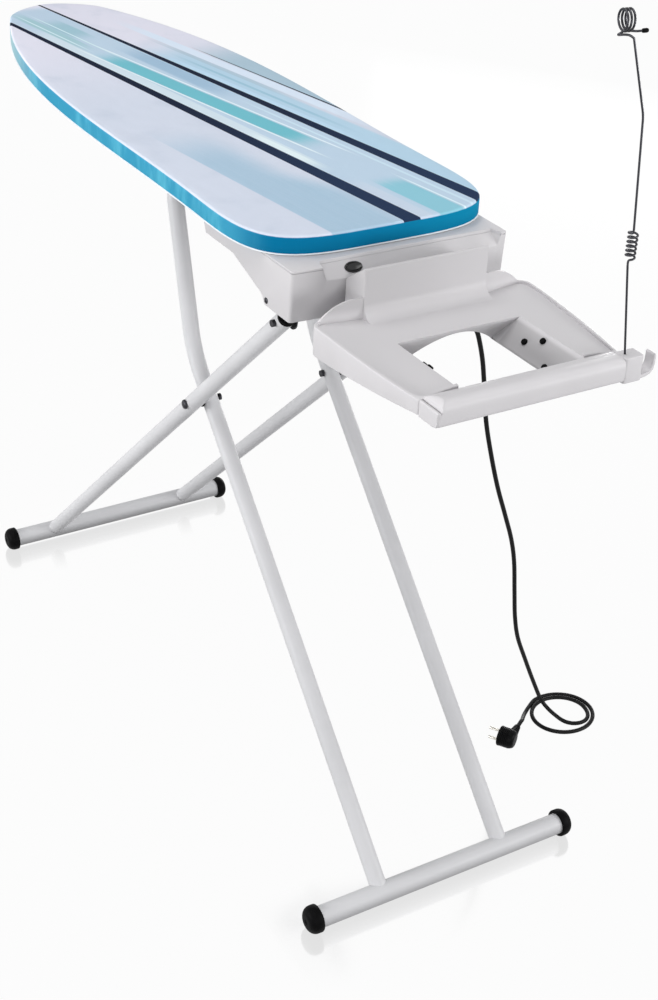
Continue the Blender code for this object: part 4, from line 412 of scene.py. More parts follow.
def loft(name, rings, around=False):
    """A body through rings of points: each ring is the last one extruded and moved to its place."""
    piece = disc(name, len(rings[0]), filled=not around)
    for vertex, point in zip(piece.data.vertices, rings[0]):
        vertex.co = point
    with editing(piece):
        for ring in rings[1:] + (rings[:1] if around else []):
            extrude((0, 0, 0))
            mesh = bmesh.from_edit_mesh(piece.data)
            mesh.verts.ensure_lookup_table()
            for vertex, point in zip(mesh.verts[-len(ring):], ring):
                vertex.co = point
            bmesh.update_edit_mesh(piece.data)
    return face_out(piece, merge=around)


def change(piece, kind, **settings):
    """Apply a modifier with these settings."""
    choose(piece)
    bpy.ops.object.modifier_add(type=kind)
    modifier = piece.modifiers[-1]
    for key, value in settings.items():
        setattr(modifier, key, value)
    bpy.ops.object.modifier_apply(modifier=modifier.name)
    return piece


def combine(piece, tool, operation="DIFFERENCE"):
    """Cut a tool from the piece, or join it on, and use the tool up."""
    change(piece, "BOOLEAN", object=tool, operation=operation, solver="EXACT")
    bpy.data.objects.remove(tool, do_unlink=True)
    return piece


def drill(piece, radius, low, high, place=(0, 0, 0), direction=(0, 0, 1), steps=32):
    """Cut a straight round hole."""
    return combine(piece, turned("drill", [(radius, low), (radius, high)], place, direction, steps))


def round_off(piece, width, segments=3, angle=40):
    """Round every edge sharper than the angle."""
    return change(
        piece,
        "BEVEL",
        width=width,
        segments=segments,
        limit_method="ANGLE",
        angle_limit=math.radians(angle),
        miter_outer="MITER_ARC",
    )


def round_edges(piece, width, segments, test):
    """Round only the edges that pass a test of their middle and direction."""

    def passes(at, edge):
        return test(at, (edge.verts[1].co - edge.verts[0].co).normalized())

    with editing(piece):
        pick(piece, "EDGE", passes)
        bpy.ops.mesh.bevel(offset=width, segments=segments, affect="EDGES")
    return piece


def divide(axis, places):
    """Cut the piece in edit mode across an axis at each place, and keep all of it."""
    for place in places:
        bpy.ops.mesh.select_all(action="SELECT")
        bpy.ops.mesh.bisect(plane_co=axis * place, plane_no=axis)


def smooth(piece, angle=35):
    choose(piece)
    bpy.ops.object.shade_smooth_by_angle(angle=math.radians(angle))
    return piece


def arc(centre, radius, start, end, steps):
    points = []
    for i in range(steps + 1):
        angle = start + (end - start) * i / steps
        points.append((centre[0] + radius * math.cos(angle), centre[1] + radius * math.sin(angle)))
    return points


def quarter(steps):
    """Angles from nothing to a right angle."""
    return [math.pi / 2 * i / steps for i in range(steps + 1)]


def rounded_rectangle(low, high, radius, steps=6):
    corners = (
        (high[0] - radius, high[1] - radius),
        (low[0] + radius, high[1] - radius),
        (low[0] + radius, low[1] + radius),
        (high[0] - radius, low[1] + radius),
    )
    points = []
    for turn in (2, 3, 0, 1):
        start = turn * math.pi / 2
        points += arc(corners[turn], radius, start, start + math.pi / 2, steps)
    return points


def drawn_in(outline, inset):
    """The closed outline moved inwards, each corner along its mitre."""
    count = len(outline)
    area = sum(
        outline[i][0] * outline[(i + 1) % count][1] - outline[(i + 1) % count][0] * outline[i][1]
        for i in range(count)
    )
    side = 1 if area > 0 else -1
    moved = []
    for i in range(count):
        before = Vector(outline[i]) - Vector(outline[i - 1])
        after = Vector(outline[(i + 1) % count]) - Vector(outline[i])
        first = Vector((-before.y, before.x)).normalized() * side
        second = Vector((-after.y, after.x)).normalized() * side
        mitre = first + second
        scale = inset * 2 / mitre.length_squared
        moved.append((outline[i][0] + mitre.x * scale, outline[i][1] + mitre.y * scale))
    return moved


def bent_tube(name, corners, radii, radius, steps=40, turns=14):
    """A tube: a disc extruded along each straight run and spun round each bend."""
    here = corners[0]
    piece = disc(name, steps, radius)
    settle(piece, Matrix.Translation(here) @ towards(corners[1] - here))
    with editing(piece):
        for i, bend in enumerate(radii, 1):
            back = (corners[i - 1] - corners[i]).normalized()
            ahead = (corners[i + 1] - corners[i]).normalized()
            half = back.angle(ahead) / 2
            reach = bend / math.tan(half)
            middle = corners[i] + (back + ahead).normalized() * (bend / math.sin(half))
            first = corners[i] + back * reach
            extrude(first - here)
            axis = (first - middle).cross(corners[i] + ahead * reach - middle).normalized()
            bpy.ops.mesh.spin(steps=turns, angle=-(math.pi - 2 * half), center=middle, axis=axis)
            here = corners[i] + ahead * reach
        extrude(corners[-1] - here)
    return face_out(piece)


def wire(name, points, radius, resolution=3, closed=False):
    """A round wire along points, as a curve."""
    curve = bpy.data.curves.new(name, "CURVE")
    curve.dimensions = "3D"
    curve.bevel_depth = radius
    curve.bevel_resolution = resolution
    curve.use_fill_caps = not closed
    spline = curve.splines.new("POLY")
    spline.use_cyclic_u = closed
    spline.points.add(len(points) - 1)
    for item, point in zip(spline.points, points):
        item.co = (*point, 1)
    piece = bpy.data.objects.new(name, curve)
    bpy.context.scene.collection.objects.link(piece)
    return piece


def as_mesh(piece):
    choose(piece)
    bpy.ops.object.convert(target="MESH")
    return face_out(bpy.context.active_object)


def smooth_line(points, spacing):
    """Evenly spaced points on a smooth curve through the given ones."""
    points = [Vector(point) for point in points]
    dense = []
    for i in range(len(points) - 1):
        before = points[max(i - 1, 0)]
        after = points[min(i + 2, len(points) - 1)]
        for step in range(12):
            t = step / 12
            a = points[i] * 2
            b = (points[i + 1] - before) * t
            c = (before * 2 - points[i] * 5 + points[i + 1] * 4 - after) * t ** 2
            d = (points[i] * 3 - before - points[i + 1] * 3 + after) * t ** 3
            dense.append((a + b + c + d) / 2)
    dense.append(points[-1])
    lengths = [0]
    for near, far in zip(dense, dense[1:]):
        lengths.append(lengths[-1] + (far - near).length)
    count = round(lengths[-1] / spacing)
    even = []
    j = 0
    for i in range(count + 1):
        target = lengths[-1] * i / count
        while j < len(lengths) - 2 and lengths[j + 1] < target:
            j += 1
        share = (target - lengths[j]) / (lengths[j + 1] - lengths[j])
        even.append(dense[j].lerp(dense[j + 1], share))
    return even, lengths[-1]


PAINTS = {}


def finish(piece, body, slot, *nodes, paint=None):
    """Give the piece its finish, let it ride on its body and stand for CAD nodes."""
    piece.data.materials.clear()
    piece.data.materials.append(PAINTS[paint or slot])
    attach(piece, body)
    if nodes:
        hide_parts(*nodes)
    return piece


# ---- finishes ----


def display(red, green, blue):
    """A colour read off a screen, 0 to 255, as the shader's linear colour."""
    values = []
    for value in (red, green, blue):
        value /= 255
        values.append(value / 12.92 if value <= 0.04045 else ((value + 0.055) / 1.055) ** 2.4)
    return (*values, 1)


class Value:
    """A node's output, so that shader maths reads as plain expressions."""

    def __init__(self, web, socket):
        self.web = web
        self.socket = socket

    def maths(self, operation, *others):
        sockets = dict(enumerate((self, *others)))
        return self.web.node("ShaderNodeMath", {"operation": operation}, sockets)

    def __add__(self, other):
        return self.maths("ADD", other)

    __radd__ = __add__

    def __sub__(self, other):
        return self.maths("SUBTRACT", other)

    def __rsub__(self, other):
        return (self * -1) + other

    def __mul__(self, other):
        return self.maths("MULTIPLY", other)

    __rmul__ = __mul__

    def __truediv__(self, other):
        return self.maths("DIVIDE", other)

    def __abs__(self):
        return self.maths("ABSOLUTE")

    def sine(self):
        return self.maths("SINE")

    def between(self, low, high):
        """Rises smoothly from 0 at low to 1 at high."""
        sockets = {"Value": self, "From Min": low, "From Max": high}
        return self.web.node("ShaderNodeMapRange", {"interpolation_type": "SMOOTHSTEP"}, sockets)


class Web:
    """The nodes of a material or of the world."""

    def __init__(self, tree):
        self.tree = tree

    def node(self, kind, settings=None, sockets=None, output=0):
        node = self.tree.nodes.new(kind)
        for key, value in (settings or {}).items():
            setattr(node, key, value)
        for key, value in (sockets or {}).items():
            self.feed(node.inputs[key], value)
        return Value(self, node.outputs[output])

    def feed(self, socket, value):
        if isinstance(value, Value):
            self.tree.links.new(value.socket, socket)
        else:
            socket.default_value = value

    def rays(self, *kinds):
        """1 for a ray of any of these kinds."""
        first, *others = [self.node("ShaderNodeLightPath", output=f"Is {k} Ray") for k in kinds]
        for other in others:
            first = first.maths("MAXIMUM", other)
        return first


class Paint(Web):
    """A material, its shader's fixed values, and the nodes that vary it."""

    def __init__(self, name, **fixed):
        self.material = bpy.data.materials.new(name)
        self.material.use_nodes = True
        super().__init__(self.material.node_tree)
        self.shader = self.tree.nodes["Principled BSDF"]
        for socket, value in fixed.items():
            self.shader.inputs[socket.replace("_", " ")].default_value = value

    def place(self):
        return self.node("ShaderNodeTexCoord", output="Object")

    def axes(self, where):
        kind = "ShaderNodeSeparateXYZ"
        return [self.node(kind, sockets={0: where}, output=axis) for axis in range(3)]

    def stretched(self, where, scale):
        return self.node("ShaderNodeMapping", sockets={"Vector": where, "Scale": scale})

    def noise(self, where, scale, detail=2.0, roughness=0.5):
        sockets = {"Vector": where, "Scale": scale, "Detail": detail, "Roughness": roughness}
        return self.node("ShaderNodeTexNoise", sockets=sockets)

    def mix(self, below, above, factor):
        sockets = {0: factor, 6: below, 7: above}
        return self.node("ShaderNodeMix", {"data_type": "RGBA"}, sockets, 2)

    def bump(self, height, distance, strength=1.0, **more):
        sockets = {"Height": height, "Distance": distance, "Strength": strength, **more}
        return self.node("ShaderNodeBump", sockets=sockets)

    def shade(self, **varying):
        for socket, value in varying.items():
            self.feed(self.shader.inputs[socket.replace("_", " ")], value)
        return self.material


def darker(colour, share):
    return tuple(c * share for c in colour[:3]) + (1,)


def moulded(name, colour, roughness, grain, vary=0.05, coat=0.0, shine=0.3, shaded=None):
    """Moulded plastic or rubber: uneven gloss, a fine grain, and mottling or a place in shade."""
    paint = Paint(name, Coat_Weight=coat, Coat_Roughness=0.2, Specular_IOR_Level=shine)
    where = paint.place()
    soft = paint.noise(where, 14, 3)
    fine = paint.noise(where, 1500, 2, 0.6)
    if shaded:
        base = paint.mix(colour, darker(colour, 0.76), shaded(*paint.axes(where)))
    else:
        base = paint.mix(colour, darker(colour, 1 - vary * 2), soft.between(0.35, 0.75))
    return paint.shade(
        Base_Color=base,
        Roughness=soft * 0.10 + (roughness - 0.05) + fine * 0.04,
        Normal=paint.bump(fine, grain),
    )


def shaded_rest(x, y, z):
    """Where the rest catches less light: the right side of its well, and its upstand."""
    deep = 1 - z.between(DECK_Z - 0.006, DECK_Z - 0.0015)
    deep = deep * (1 - abs(y).between(WELL_HALF - 0.001, WELL_HALF + 0.001))
    deep = deep * x.between(WELL_X[0] - 0.001, WELL_X[0] + 0.002) * y.between(-0.02, 0.03)
    raised = z.between(DECK_Z + 0.004, DECK_Z + 0.020) * (0.92 - y.between(-0.08, 0.12) * 0.46)
    return deep + raised


def powder_coat(name, colour):
    """Powder coat on tube: a slight orange peel under a satin gloss, darker in shaded places."""
    paint = Paint(name, Specular_IOR_Level=0.12)
    where = paint.place()
    peel = paint.noise(where, 420, 2)
    soft = paint.noise(where, 9, 3)
    x, _, z = paint.axes(where)
    under = 1 - z.between(FOOT_Z - BAR_RADIUS * 0.6, FOOT_Z + BAR_RADIUS * 0.75)
    low = (1 - z.between(0.10, 0.55)) * x.between(0.05, 0.25)
    shadow = darker(colour, 0.62)
    coat = paint.mix(colour, darker(colour, 0.93), soft.between(0.35, 0.8))
    coat = paint.mix(coat, shadow, low * 0.22)
    return paint.shade(
        Base_Color=paint.mix(coat, shadow, under * 0.95),
        Roughness=peel * 0.06 + soft * 0.08 + 0.24,
        Normal=paint.bump(peel, 0.00001),
    )


def plated(name, colour, roughness, drawn=(1, 1, 1), patches=0.12):
    """Plated or drawn steel: cloudy patches with fine lines along the way that it was drawn."""
    paint = Paint(name, Metallic=1.0)
    where = paint.place()
    cloud = paint.noise(where, 55, 4, 0.6)
    lines = paint.noise(paint.stretched(where, drawn), 900, 2)
    return paint.shade(
        Base_Color=paint.mix(colour, darker(colour, 1 - patches * 2), cloud.between(0.3, 0.75)),
        Roughness=cloud * 0.14 + lines * 0.10 + (roughness - 0.12),
        Normal=paint.bump(lines, 0.00004),
    )


def felted(name, colour):
    """Needled felt: matted fibres with darker flecks."""
    paint = Paint(name, Sheen_Weight=0.3)
    where = paint.place()
    fibre = paint.noise(paint.stretched(where, (1, 2.2, 1)), 900, 4, 0.7)
    fleck = paint.noise(where, 240, 2)
    return paint.shade(
        Base_Color=paint.mix(colour, darker(colour, 0.72), fleck.between(0.45, 0.8)),
        Roughness=fibre * 0.1 + 0.86,
        Normal=paint.bump(fibre, 0.0006),
    )


def sheathed(name, colour):
    """Cord sheath: soft vinyl with a faint twist of the cores under it."""
    paint = Paint(name, Specular_IOR_Level=0.12)
    where = paint.place()
    x, y, z = paint.axes(where)
    twist = ((x + y) * 210 + z * 260).sine()
    fine = paint.noise(where, 1200, 2)
    patches = paint.noise(where, 30, 3).between(0.3, 0.8)
    return paint.shade(
        Base_Color=paint.mix(colour, darker(colour, 0.6), patches),
        Roughness=fine * 0.08 + 0.38,
        Normal=paint.bump(twist * 0.4 + fine * 0.2, 0.00003),
    )


# Lines of the print, from the nose: the two navy stripes fan out, with the bands between them.
# Each line: where it starts, its y there, and its slope.
STRIPE_LOW = (0.08, -0.1087, 0.1307)
STRIPE_HIGH = (0.01, -0.0139, 0.157)
HAIR_LINE = (0.37, 0.125, 0.1676)
WEDGE_LINE = (0.78, -0.135, 0.118)
# Each band: low and high edge in shares between the stripes, softness of these edges, slant in
# shares a metre, where it starts and ends along the board, how long it fades, colour, strength
BANDS = (
    (0.04, 0.98, 0.10, 0.0, 0.00, 1.30, 0.05, (190, 211, 229), 0.95),
    (1.02, 1.44, 0.10, 0.0, 0.24, 1.30, 0.22, (182, 211, 230), 1.00),
    (1.07, 1.16, 0.03, 0.0, 0.28, 0.95, 0.20, (192, 220, 240), 0.80),
    (1.24, 1.30, 0.02, 0.0, 0.30, 0.90, 0.20, (156, 196, 216), 0.80),
    (1.40, 1.50, 0.03, 0.0, 0.20, 0.75, 0.20, (170, 196, 212), 0.70),
    (1.50, 1.68, 0.05, 0.0, 0.10, 0.90, 0.20, (219, 232, 247), 0.90),
    (1.70, 2.30, 0.10, 0.0, 0.28, 1.30, 0.20, (172, 197, 212), 0.90),
    (0.68, 0.94, 0.08, 0.0, 0.26, 0.66, 0.14, (162, 191, 215), 0.95),
    (0.22, 0.44, 0.06, 0.0, 0.00, 0.34, 0.12, (165, 202, 212), 0.95),
    (0.44, 0.78, 0.08, 0.0, 0.08, 0.26, 0.08, (162, 198, 212), 0.95),
    (0.29, 0.56, 0.05, 0.35, 0.29, 0.90, 0.13, (116, 190, 204), 1.10),
    (0.34, 0.66, 0.05, 0.0, 1.00, 1.30, 0.07, (144, 200, 216), 1.10),
    (0.06, 0.24, 0.04, 0.0, 0.10, 1.00, 0.14, (210, 226, 236), 1.00),
    (0.10, 0.20, 0.03, 0.0, 0.74, 0.98, 0.10, (226, 240, 244), 1.00),
    (0.08, 0.26, 0.05, 0.0, 0.98, 1.30, 0.08, (200, 214, 230), 0.90),
    (0.29, 0.32, 0.014, 0.0, 0.02, 0.34, 0.10, (214, 236, 242), 0.95),
    (0.50, 0.53, 0.014, 0.0, 0.02, 0.40, 0.12, (214, 236, 242), 0.90),
    (0.255, 0.285, 0.012, 0.35, 0.24, 0.95, 0.10, (226, 240, 246), 1.00),
    (0.585, 0.615, 0.012, 0.35, 0.24, 0.95, 0.10, (226, 240, 248), 1.00),
    (0.68, 0.705, 0.012, 0.0, 0.98, 1.30, 0.10, (222, 240, 248), 1.00),
    (0.80, 0.84, 0.014, 0.0, 0.60, 1.30, 0.12, (204, 226, 240), 0.90),
)
GROUND = (227, 227, 240)
GROUND_WIDE = (210, 217, 231)
NAVY_LOW = (18, 28, 48)
NAVY_HIGH = (36, 52, 80)


def line_at(along, line):
    start, across, slope = line
    return (along - start) * slope + across


def band_mask(share, along, streaks, edges, soft, slant, begins, ends, fade):
    """1 inside a band of the print, with soft edges and faded ends."""
    across = share - (along - 0.5) * slant if slant else share
    low, high = [across.between(edge - soft / 2, edge + soft / 2) for edge in edges]
    inside = low * (1 - high) * along.between(begins, begins + fade)
    if ends < BOARD_LENGTH:
        inside = inside * (1 - along.between(ends - fade, ends))
    if soft > 0.03:
        inside = inside * (0.68 + streaks * 0.64)
    return inside


def printed_top(paint, where, along, y):
    """The print on the top: a pale ground, its bands and its navy stripes."""
    low = line_at(along, STRIPE_LOW)
    high = line_at(along, STRIPE_HIGH)
    share = (y - low) / (high - low)
    wash = paint.noise(where, 16, 3).between(0.5, 0.85)
    sockets = {0: along * 1.2, 1: share * 13, 2: 0.0}
    streaks = paint.noise(paint.node("ShaderNodeCombineXYZ", sockets=sockets), 2.2, 4, 0.6)
    ground = paint.mix(display(*GROUND), display(*GROUND_WIDE), along.between(0.20, 0.62))
    colour = paint.mix(ground, display(192, 202, 218), wash * 0.45)
    # the pale wedge under the lower stripe at the wide end
    upper = share - along.between(0.92, 1.06) * 0.35
    wedge = (y - line_at(along, WEDGE_LINE)).between(-0.001, 0.002) * along.between(0.70, 0.88)
    wedge = wedge * (1 - upper.between(-0.62, -0.16))
    colour = paint.mix(colour, display(170, 197, 217), wedge * (0.75 + streaks * 0.4))
    for start, end, soft, slant, begins, ends, fade, tint, strength in BANDS:
        mask = band_mask(share, along, streaks, (start, end), soft, slant, begins, ends, fade)
        colour = paint.mix(colour, display(*tint), (mask * strength).between(0.0, 1.0))
    ink = paint.mix(display(*NAVY_LOW), display(*NAVY_HIGH), along.between(0.5, 1.15))
    for line, wide in ((low, along * 0.0082 + 0.0038), (high, along * 0.0086 + 0.0022)):
        edge = wide - abs(y - line)
        colour = paint.mix(colour, ink, edge.between(-0.0004, 0.0004))
    thin = (along - 0.37) * 0.0038 + 0.0008
    hair = (thin - abs(y - line_at(along, HAIR_LINE))).between(-0.0004, 0.0004)
    return paint.mix(colour, ink, hair * along.between(0.33, 0.42))


def printed_cloth(looks):
    """Printed cotton: fanned stripes on a pale ground, a blue side band, and the weave."""
    paint = Paint("printed cloth", Specular_IOR_Level=0.05)
    where = paint.place()
    x, y, z = paint.axes(where)
    along = x - NOSE_X
    # the side band: light blue along the flanks, deep blue round the wide end
    blotch = paint.noise(paint.stretched(where, (1, 1, 0.35)), 24, 4, 0.55).between(0.42, 0.72)
    flank = paint.mix((*looks.band_side, 1), display(98, 188, 212), blotch * 0.8)
    flank = paint.mix(display(176, 206, 210), flank, along.between(0.08, 0.46))
    lower = 1 - z.between(COVER_BOTTOM, BOARD_TOP - 0.008)
    deep = paint.mix((*looks.band_end, 1), display(8, 132, 170), y.between(-0.10, 0.20))
    deep = paint.mix(deep, display(4, 98, 136), lower * 0.35)
    band = paint.mix(flank, deep, (along + y * 0.10).between(1.045, 1.125))
    top = z.between(BOARD_TOP - 0.0034, BOARD_TOP - 0.0024)
    pitch = math.tau / looks.weave_pitch
    weave = (x * pitch).sine() * (y * pitch).sine()
    weave = weave + (z * pitch).sine() * ((x + y) * pitch).sine()
    creases = paint.noise(paint.stretched(where, (1, 1.6, 1)), 26, 3, 0.45)
    return paint.shade(
        Base_Color=paint.mix(band, printed_top(paint, where, along, y), top),
        Roughness=weave * 0.03 + 0.80,
        Normal=paint.bump(creases, 0.0022, 0.5, Normal=paint.bump(weave, 0.00012, 0.6)),
    )


def make_finishes(looks):
    """Every finish on the object, by the name of its slot."""
    white = (*looks.plastic, 1)
    rest = "white plastic of the rest"
    drawn = (1, 1, 0.06)
    return {
        "cover_cloth": printed_cloth(looks),
        "felt": felted("needled felt", display(206, 204, 198)),
        "white_plastic": moulded("white plastic", white, 0.36, 3e-5, 0.015, shine=0.15),
        "rest_plastic": moulded(rest, white, 0.36, 3e-5, shine=0.15, shaded=shaded_rest),
        "white_paint": powder_coat("pale grey powder coat", (*looks.paint, 1)),
        "black_plastic": moulded("black plastic", display(6, 6, 7), 0.38, 5e-5, 0.12, shine=0.06),
        "black_rubber": moulded("black rubber", display(5, 5, 6), 0.50, 9e-5, 0.15, shine=0.05),
        "grey_plastic": moulded("grey plastic", display(120, 120, 124), 0.45, 5e-5),
        "zinc_steel": plated("black zinc plate", display(58, 58, 62), 0.42),
        "spring_steel": plated("drawn spring steel", display(62, 62, 66), 0.36, drawn, 0.08),
        "nickel": plated("nickel plate", display(200, 197, 190), 0.24, (0.06, 0.06, 1), 0.04),
        "cord_sheath": sheathed("cord sheath", display(12, 12, 13)),
        "switch_black": moulded("glossy black plastic", display(10, 10, 12), 0.20, 1e-5, coat=0.3),
        "piping": moulded("white piping", display(232, 236, 240), 0.55, 1e-4, 0.02),
    }


# ---- board ----


def board_outline(inset=0, steps=72):
    """Plan of the board: a blunt round nose, cubic flanks and a squarish rounded wide end."""
    side = []
    for i in range(1, steps):
        share = (1 - math.cos(math.pi * i / steps)) / 2
        along = share * BOARD_LENGTH
        width = BOARD_HALF * sum(c * (share - 1 / 2) ** n for n, c in enumerate(FLANK_SHARES))
        if along < NOSE_ROUNDING:
            width *= (1 - (1 - along / NOSE_ROUNDING) ** NOSE_POWER) ** (1 / NOSE_POWER)
        if BOARD_LENGTH - along < END_ROUNDING:
            left = (BOARD_LENGTH - along) / END_ROUNDING
            width *= (1 - (1 - left) ** END_POWER) ** (1 / END_POWER)
        side.append((NOSE_X + along, width))
    end = (NOSE_X + BOARD_LENGTH, 0)
    outline = [(NOSE_X, 0)] + [(x, -y) for x, y in side] + [end] + side[::-1]
    return drawn_in(outline, inset) if inset else outline


def board_ring(inset, height):
    return [(x, y, height) for x, y in board_outline(inset)]


def pucker(point):
    """How far the gathered hem stands off at a point."""
    around = math.atan2(point.y * 3, point.x + 0.17)
    wave = math.sin(around * 150) * 0.6 + math.sin(around * 97 + 1.3) * 0.4
    return wave * PUCKER_DEPTH


class TABLE_OT_cover(bpy.types.Operator):
    """Model the printed cloth cover, its gathered hem and the piping round its lower edge"""

    bl_idname = "ironing_table.cover"
    bl_label = "Cloth cover"

    def execute(self, context):
        inset, fall = TOP_ROUNDING
        rings = [board_ring(0.016, BOARD_TOP), board_ring(0.0095, BOARD_TOP)]
        for angle in quarter(6)[1:]:
            height = BOARD_TOP - fall * (1 - math.cos(angle))
            rings.append(board_ring(inset * (1 - math.sin(angle)), height))
        rings += [board_ring(0, height) for height in (0.940, 0.9345, 0.929)]
        for angle in quarter(5)[1:]:
            height = COVER_BOTTOM + LOWER_ROUNDING * (1 - math.sin(angle))
            rings.append(board_ring(LOWER_ROUNDING * (1 - math.cos(angle)), height))
        for reach in (0.004, 0.009, 0.014, HEM - LOWER_ROUNDING):
            rings.append(board_ring(LOWER_ROUNDING + reach, COVER_BOTTOM))
        cloth = loft("board_cover", rings)
        with editing(cloth):
            self.pick_cap(cloth, -1)
            bpy.ops.mesh.delete(type="FACE")
            self.pick_cap(cloth, 1)
            bpy.ops.mesh.inset(thickness=0.012, depth=0)
        self.soften(cloth)
        smooth(change(cloth, "SOLIDIFY", thickness=CLOTH, offset=-1), 60)
        finish(cloth, "board", "cover_cloth", "cover")
        outline = board_ring(0.0004, COVER_BOTTOM + 0.0010)
        piping = smooth(as_mesh(wire("cover_piping", outline, CLOTH, 2, closed=True)), 60)
        finish(piping, "board", "cover_cloth", paint="piping")
        return {"FINISHED"}

    def pick_cap(self, cloth, side):
        pick(cloth, "FACE", lambda at, face: face.normal.z * side > 0.9 and len(face.verts) > 20)

    def soften(self, cloth):
        """Soft unevenness on the top, and puckers in the hem."""
        for vertex in cloth.data.vertices:
            point = vertex.co
            if point.z > BOARD_TOP - 0.0005:
                drop = noise.noise(point * 22) * 0.5 + noise.noise(point * 9) * 0.5
                point.z -= UNEVENNESS * (0.5 + 0.5 * drop)
            elif point.z < COVER_BOTTOM + 0.0002 and point.x < 0.15:
                point.z += pucker(point) + GAP


class TABLE_OT_padding(bpy.types.Operator):
    """Model the felt padding under the cover"""

    bl_idname = "ironing_table.padding"
    bl_label = "Felt padding"

    def execute(self, context):
        rings = []
        for angle in quarter(4):
            inset = FELT_ROUNDING + FELT_ROUNDING * (1 - math.sin(angle))
            rings.append(board_ring(inset, FELT_TOP - FELT_ROUNDING * (1 - math.cos(angle))))
        rings += [board_ring(0.0034, FELT_TOP - 0.0050), board_ring(0.0042, FELT_TOP - 0.0058)]
        padding = smooth(loft("board_padding", rings), 60)
        finish(padding, "board", "felt", "felt_pad")
        return {"FINISHED"}


# ---- fan housing ----


def bow_front(piece, from_x):
    """Cut the piece across its width, and bow its front out in the middle."""
    with editing(piece):
        divide(Vector((0, 1, 0)), [HOUSING_HALF * (i / 10 - 1) for i in range(1, 20)])
    for vertex in piece.data.vertices:
        if vertex.co.x > from_x:
            share = vertex.co.y / HOUSING_HALF
            vertex.co.x += HOUSING_BOW * (1 - share * share)


def panel_wedge():
    """The wedge that the slanted control panel takes from the front top edge."""
    run = (PANEL_LOW - PANEL_TOP).normalized()
    top = PANEL_TOP - run * 0.008
    low = PANEL_LOW + run * 0.016
    out = PANEL_NORMAL * 0.036
    rings = []
    for y, slant in ((PANEL_ENDS[0], -PANEL_SLANT), (PANEL_ENDS[1], PANEL_SLANT)):
        corners = ((top, 0), (low, 0), (low + out, slant), (top + out, slant))
        rings.append([(point.x, y + shift, point.z) for point, shift in corners])
    return loft("wedge", rings)


def oval(inset, out, steps=48):
    """A ring of the switch's oval at a height off the panel."""
    ring = []
    for i in range(steps):
        angle = math.tau * i / steps
        along = (SWITCH_LENGTH - inset) * math.cos(angle)
        up = (SWITCH_WIDTH - inset) * math.sin(angle)
        ring.append(tuple(SWITCH + Vector((0, along, 0)) + PANEL_SLOPE * up + PANEL_NORMAL * out))
    return ring


HOUSING_PROFILE = (
    (HOUSING_REAR, HOUSING_TOP),
    (HOUSING_REAR + 0.014, HOUSING_SHALLOW),
    (0.286, HOUSING_SHALLOW),
    (0.366, HOUSING_SHALLOW - 0.026),
    (0.372, HOUSING_DEEP),
    (HOUSING_FRONT - 0.004, HOUSING_DEEP),
    (HOUSING_FRONT, HOUSING_TOP),
)


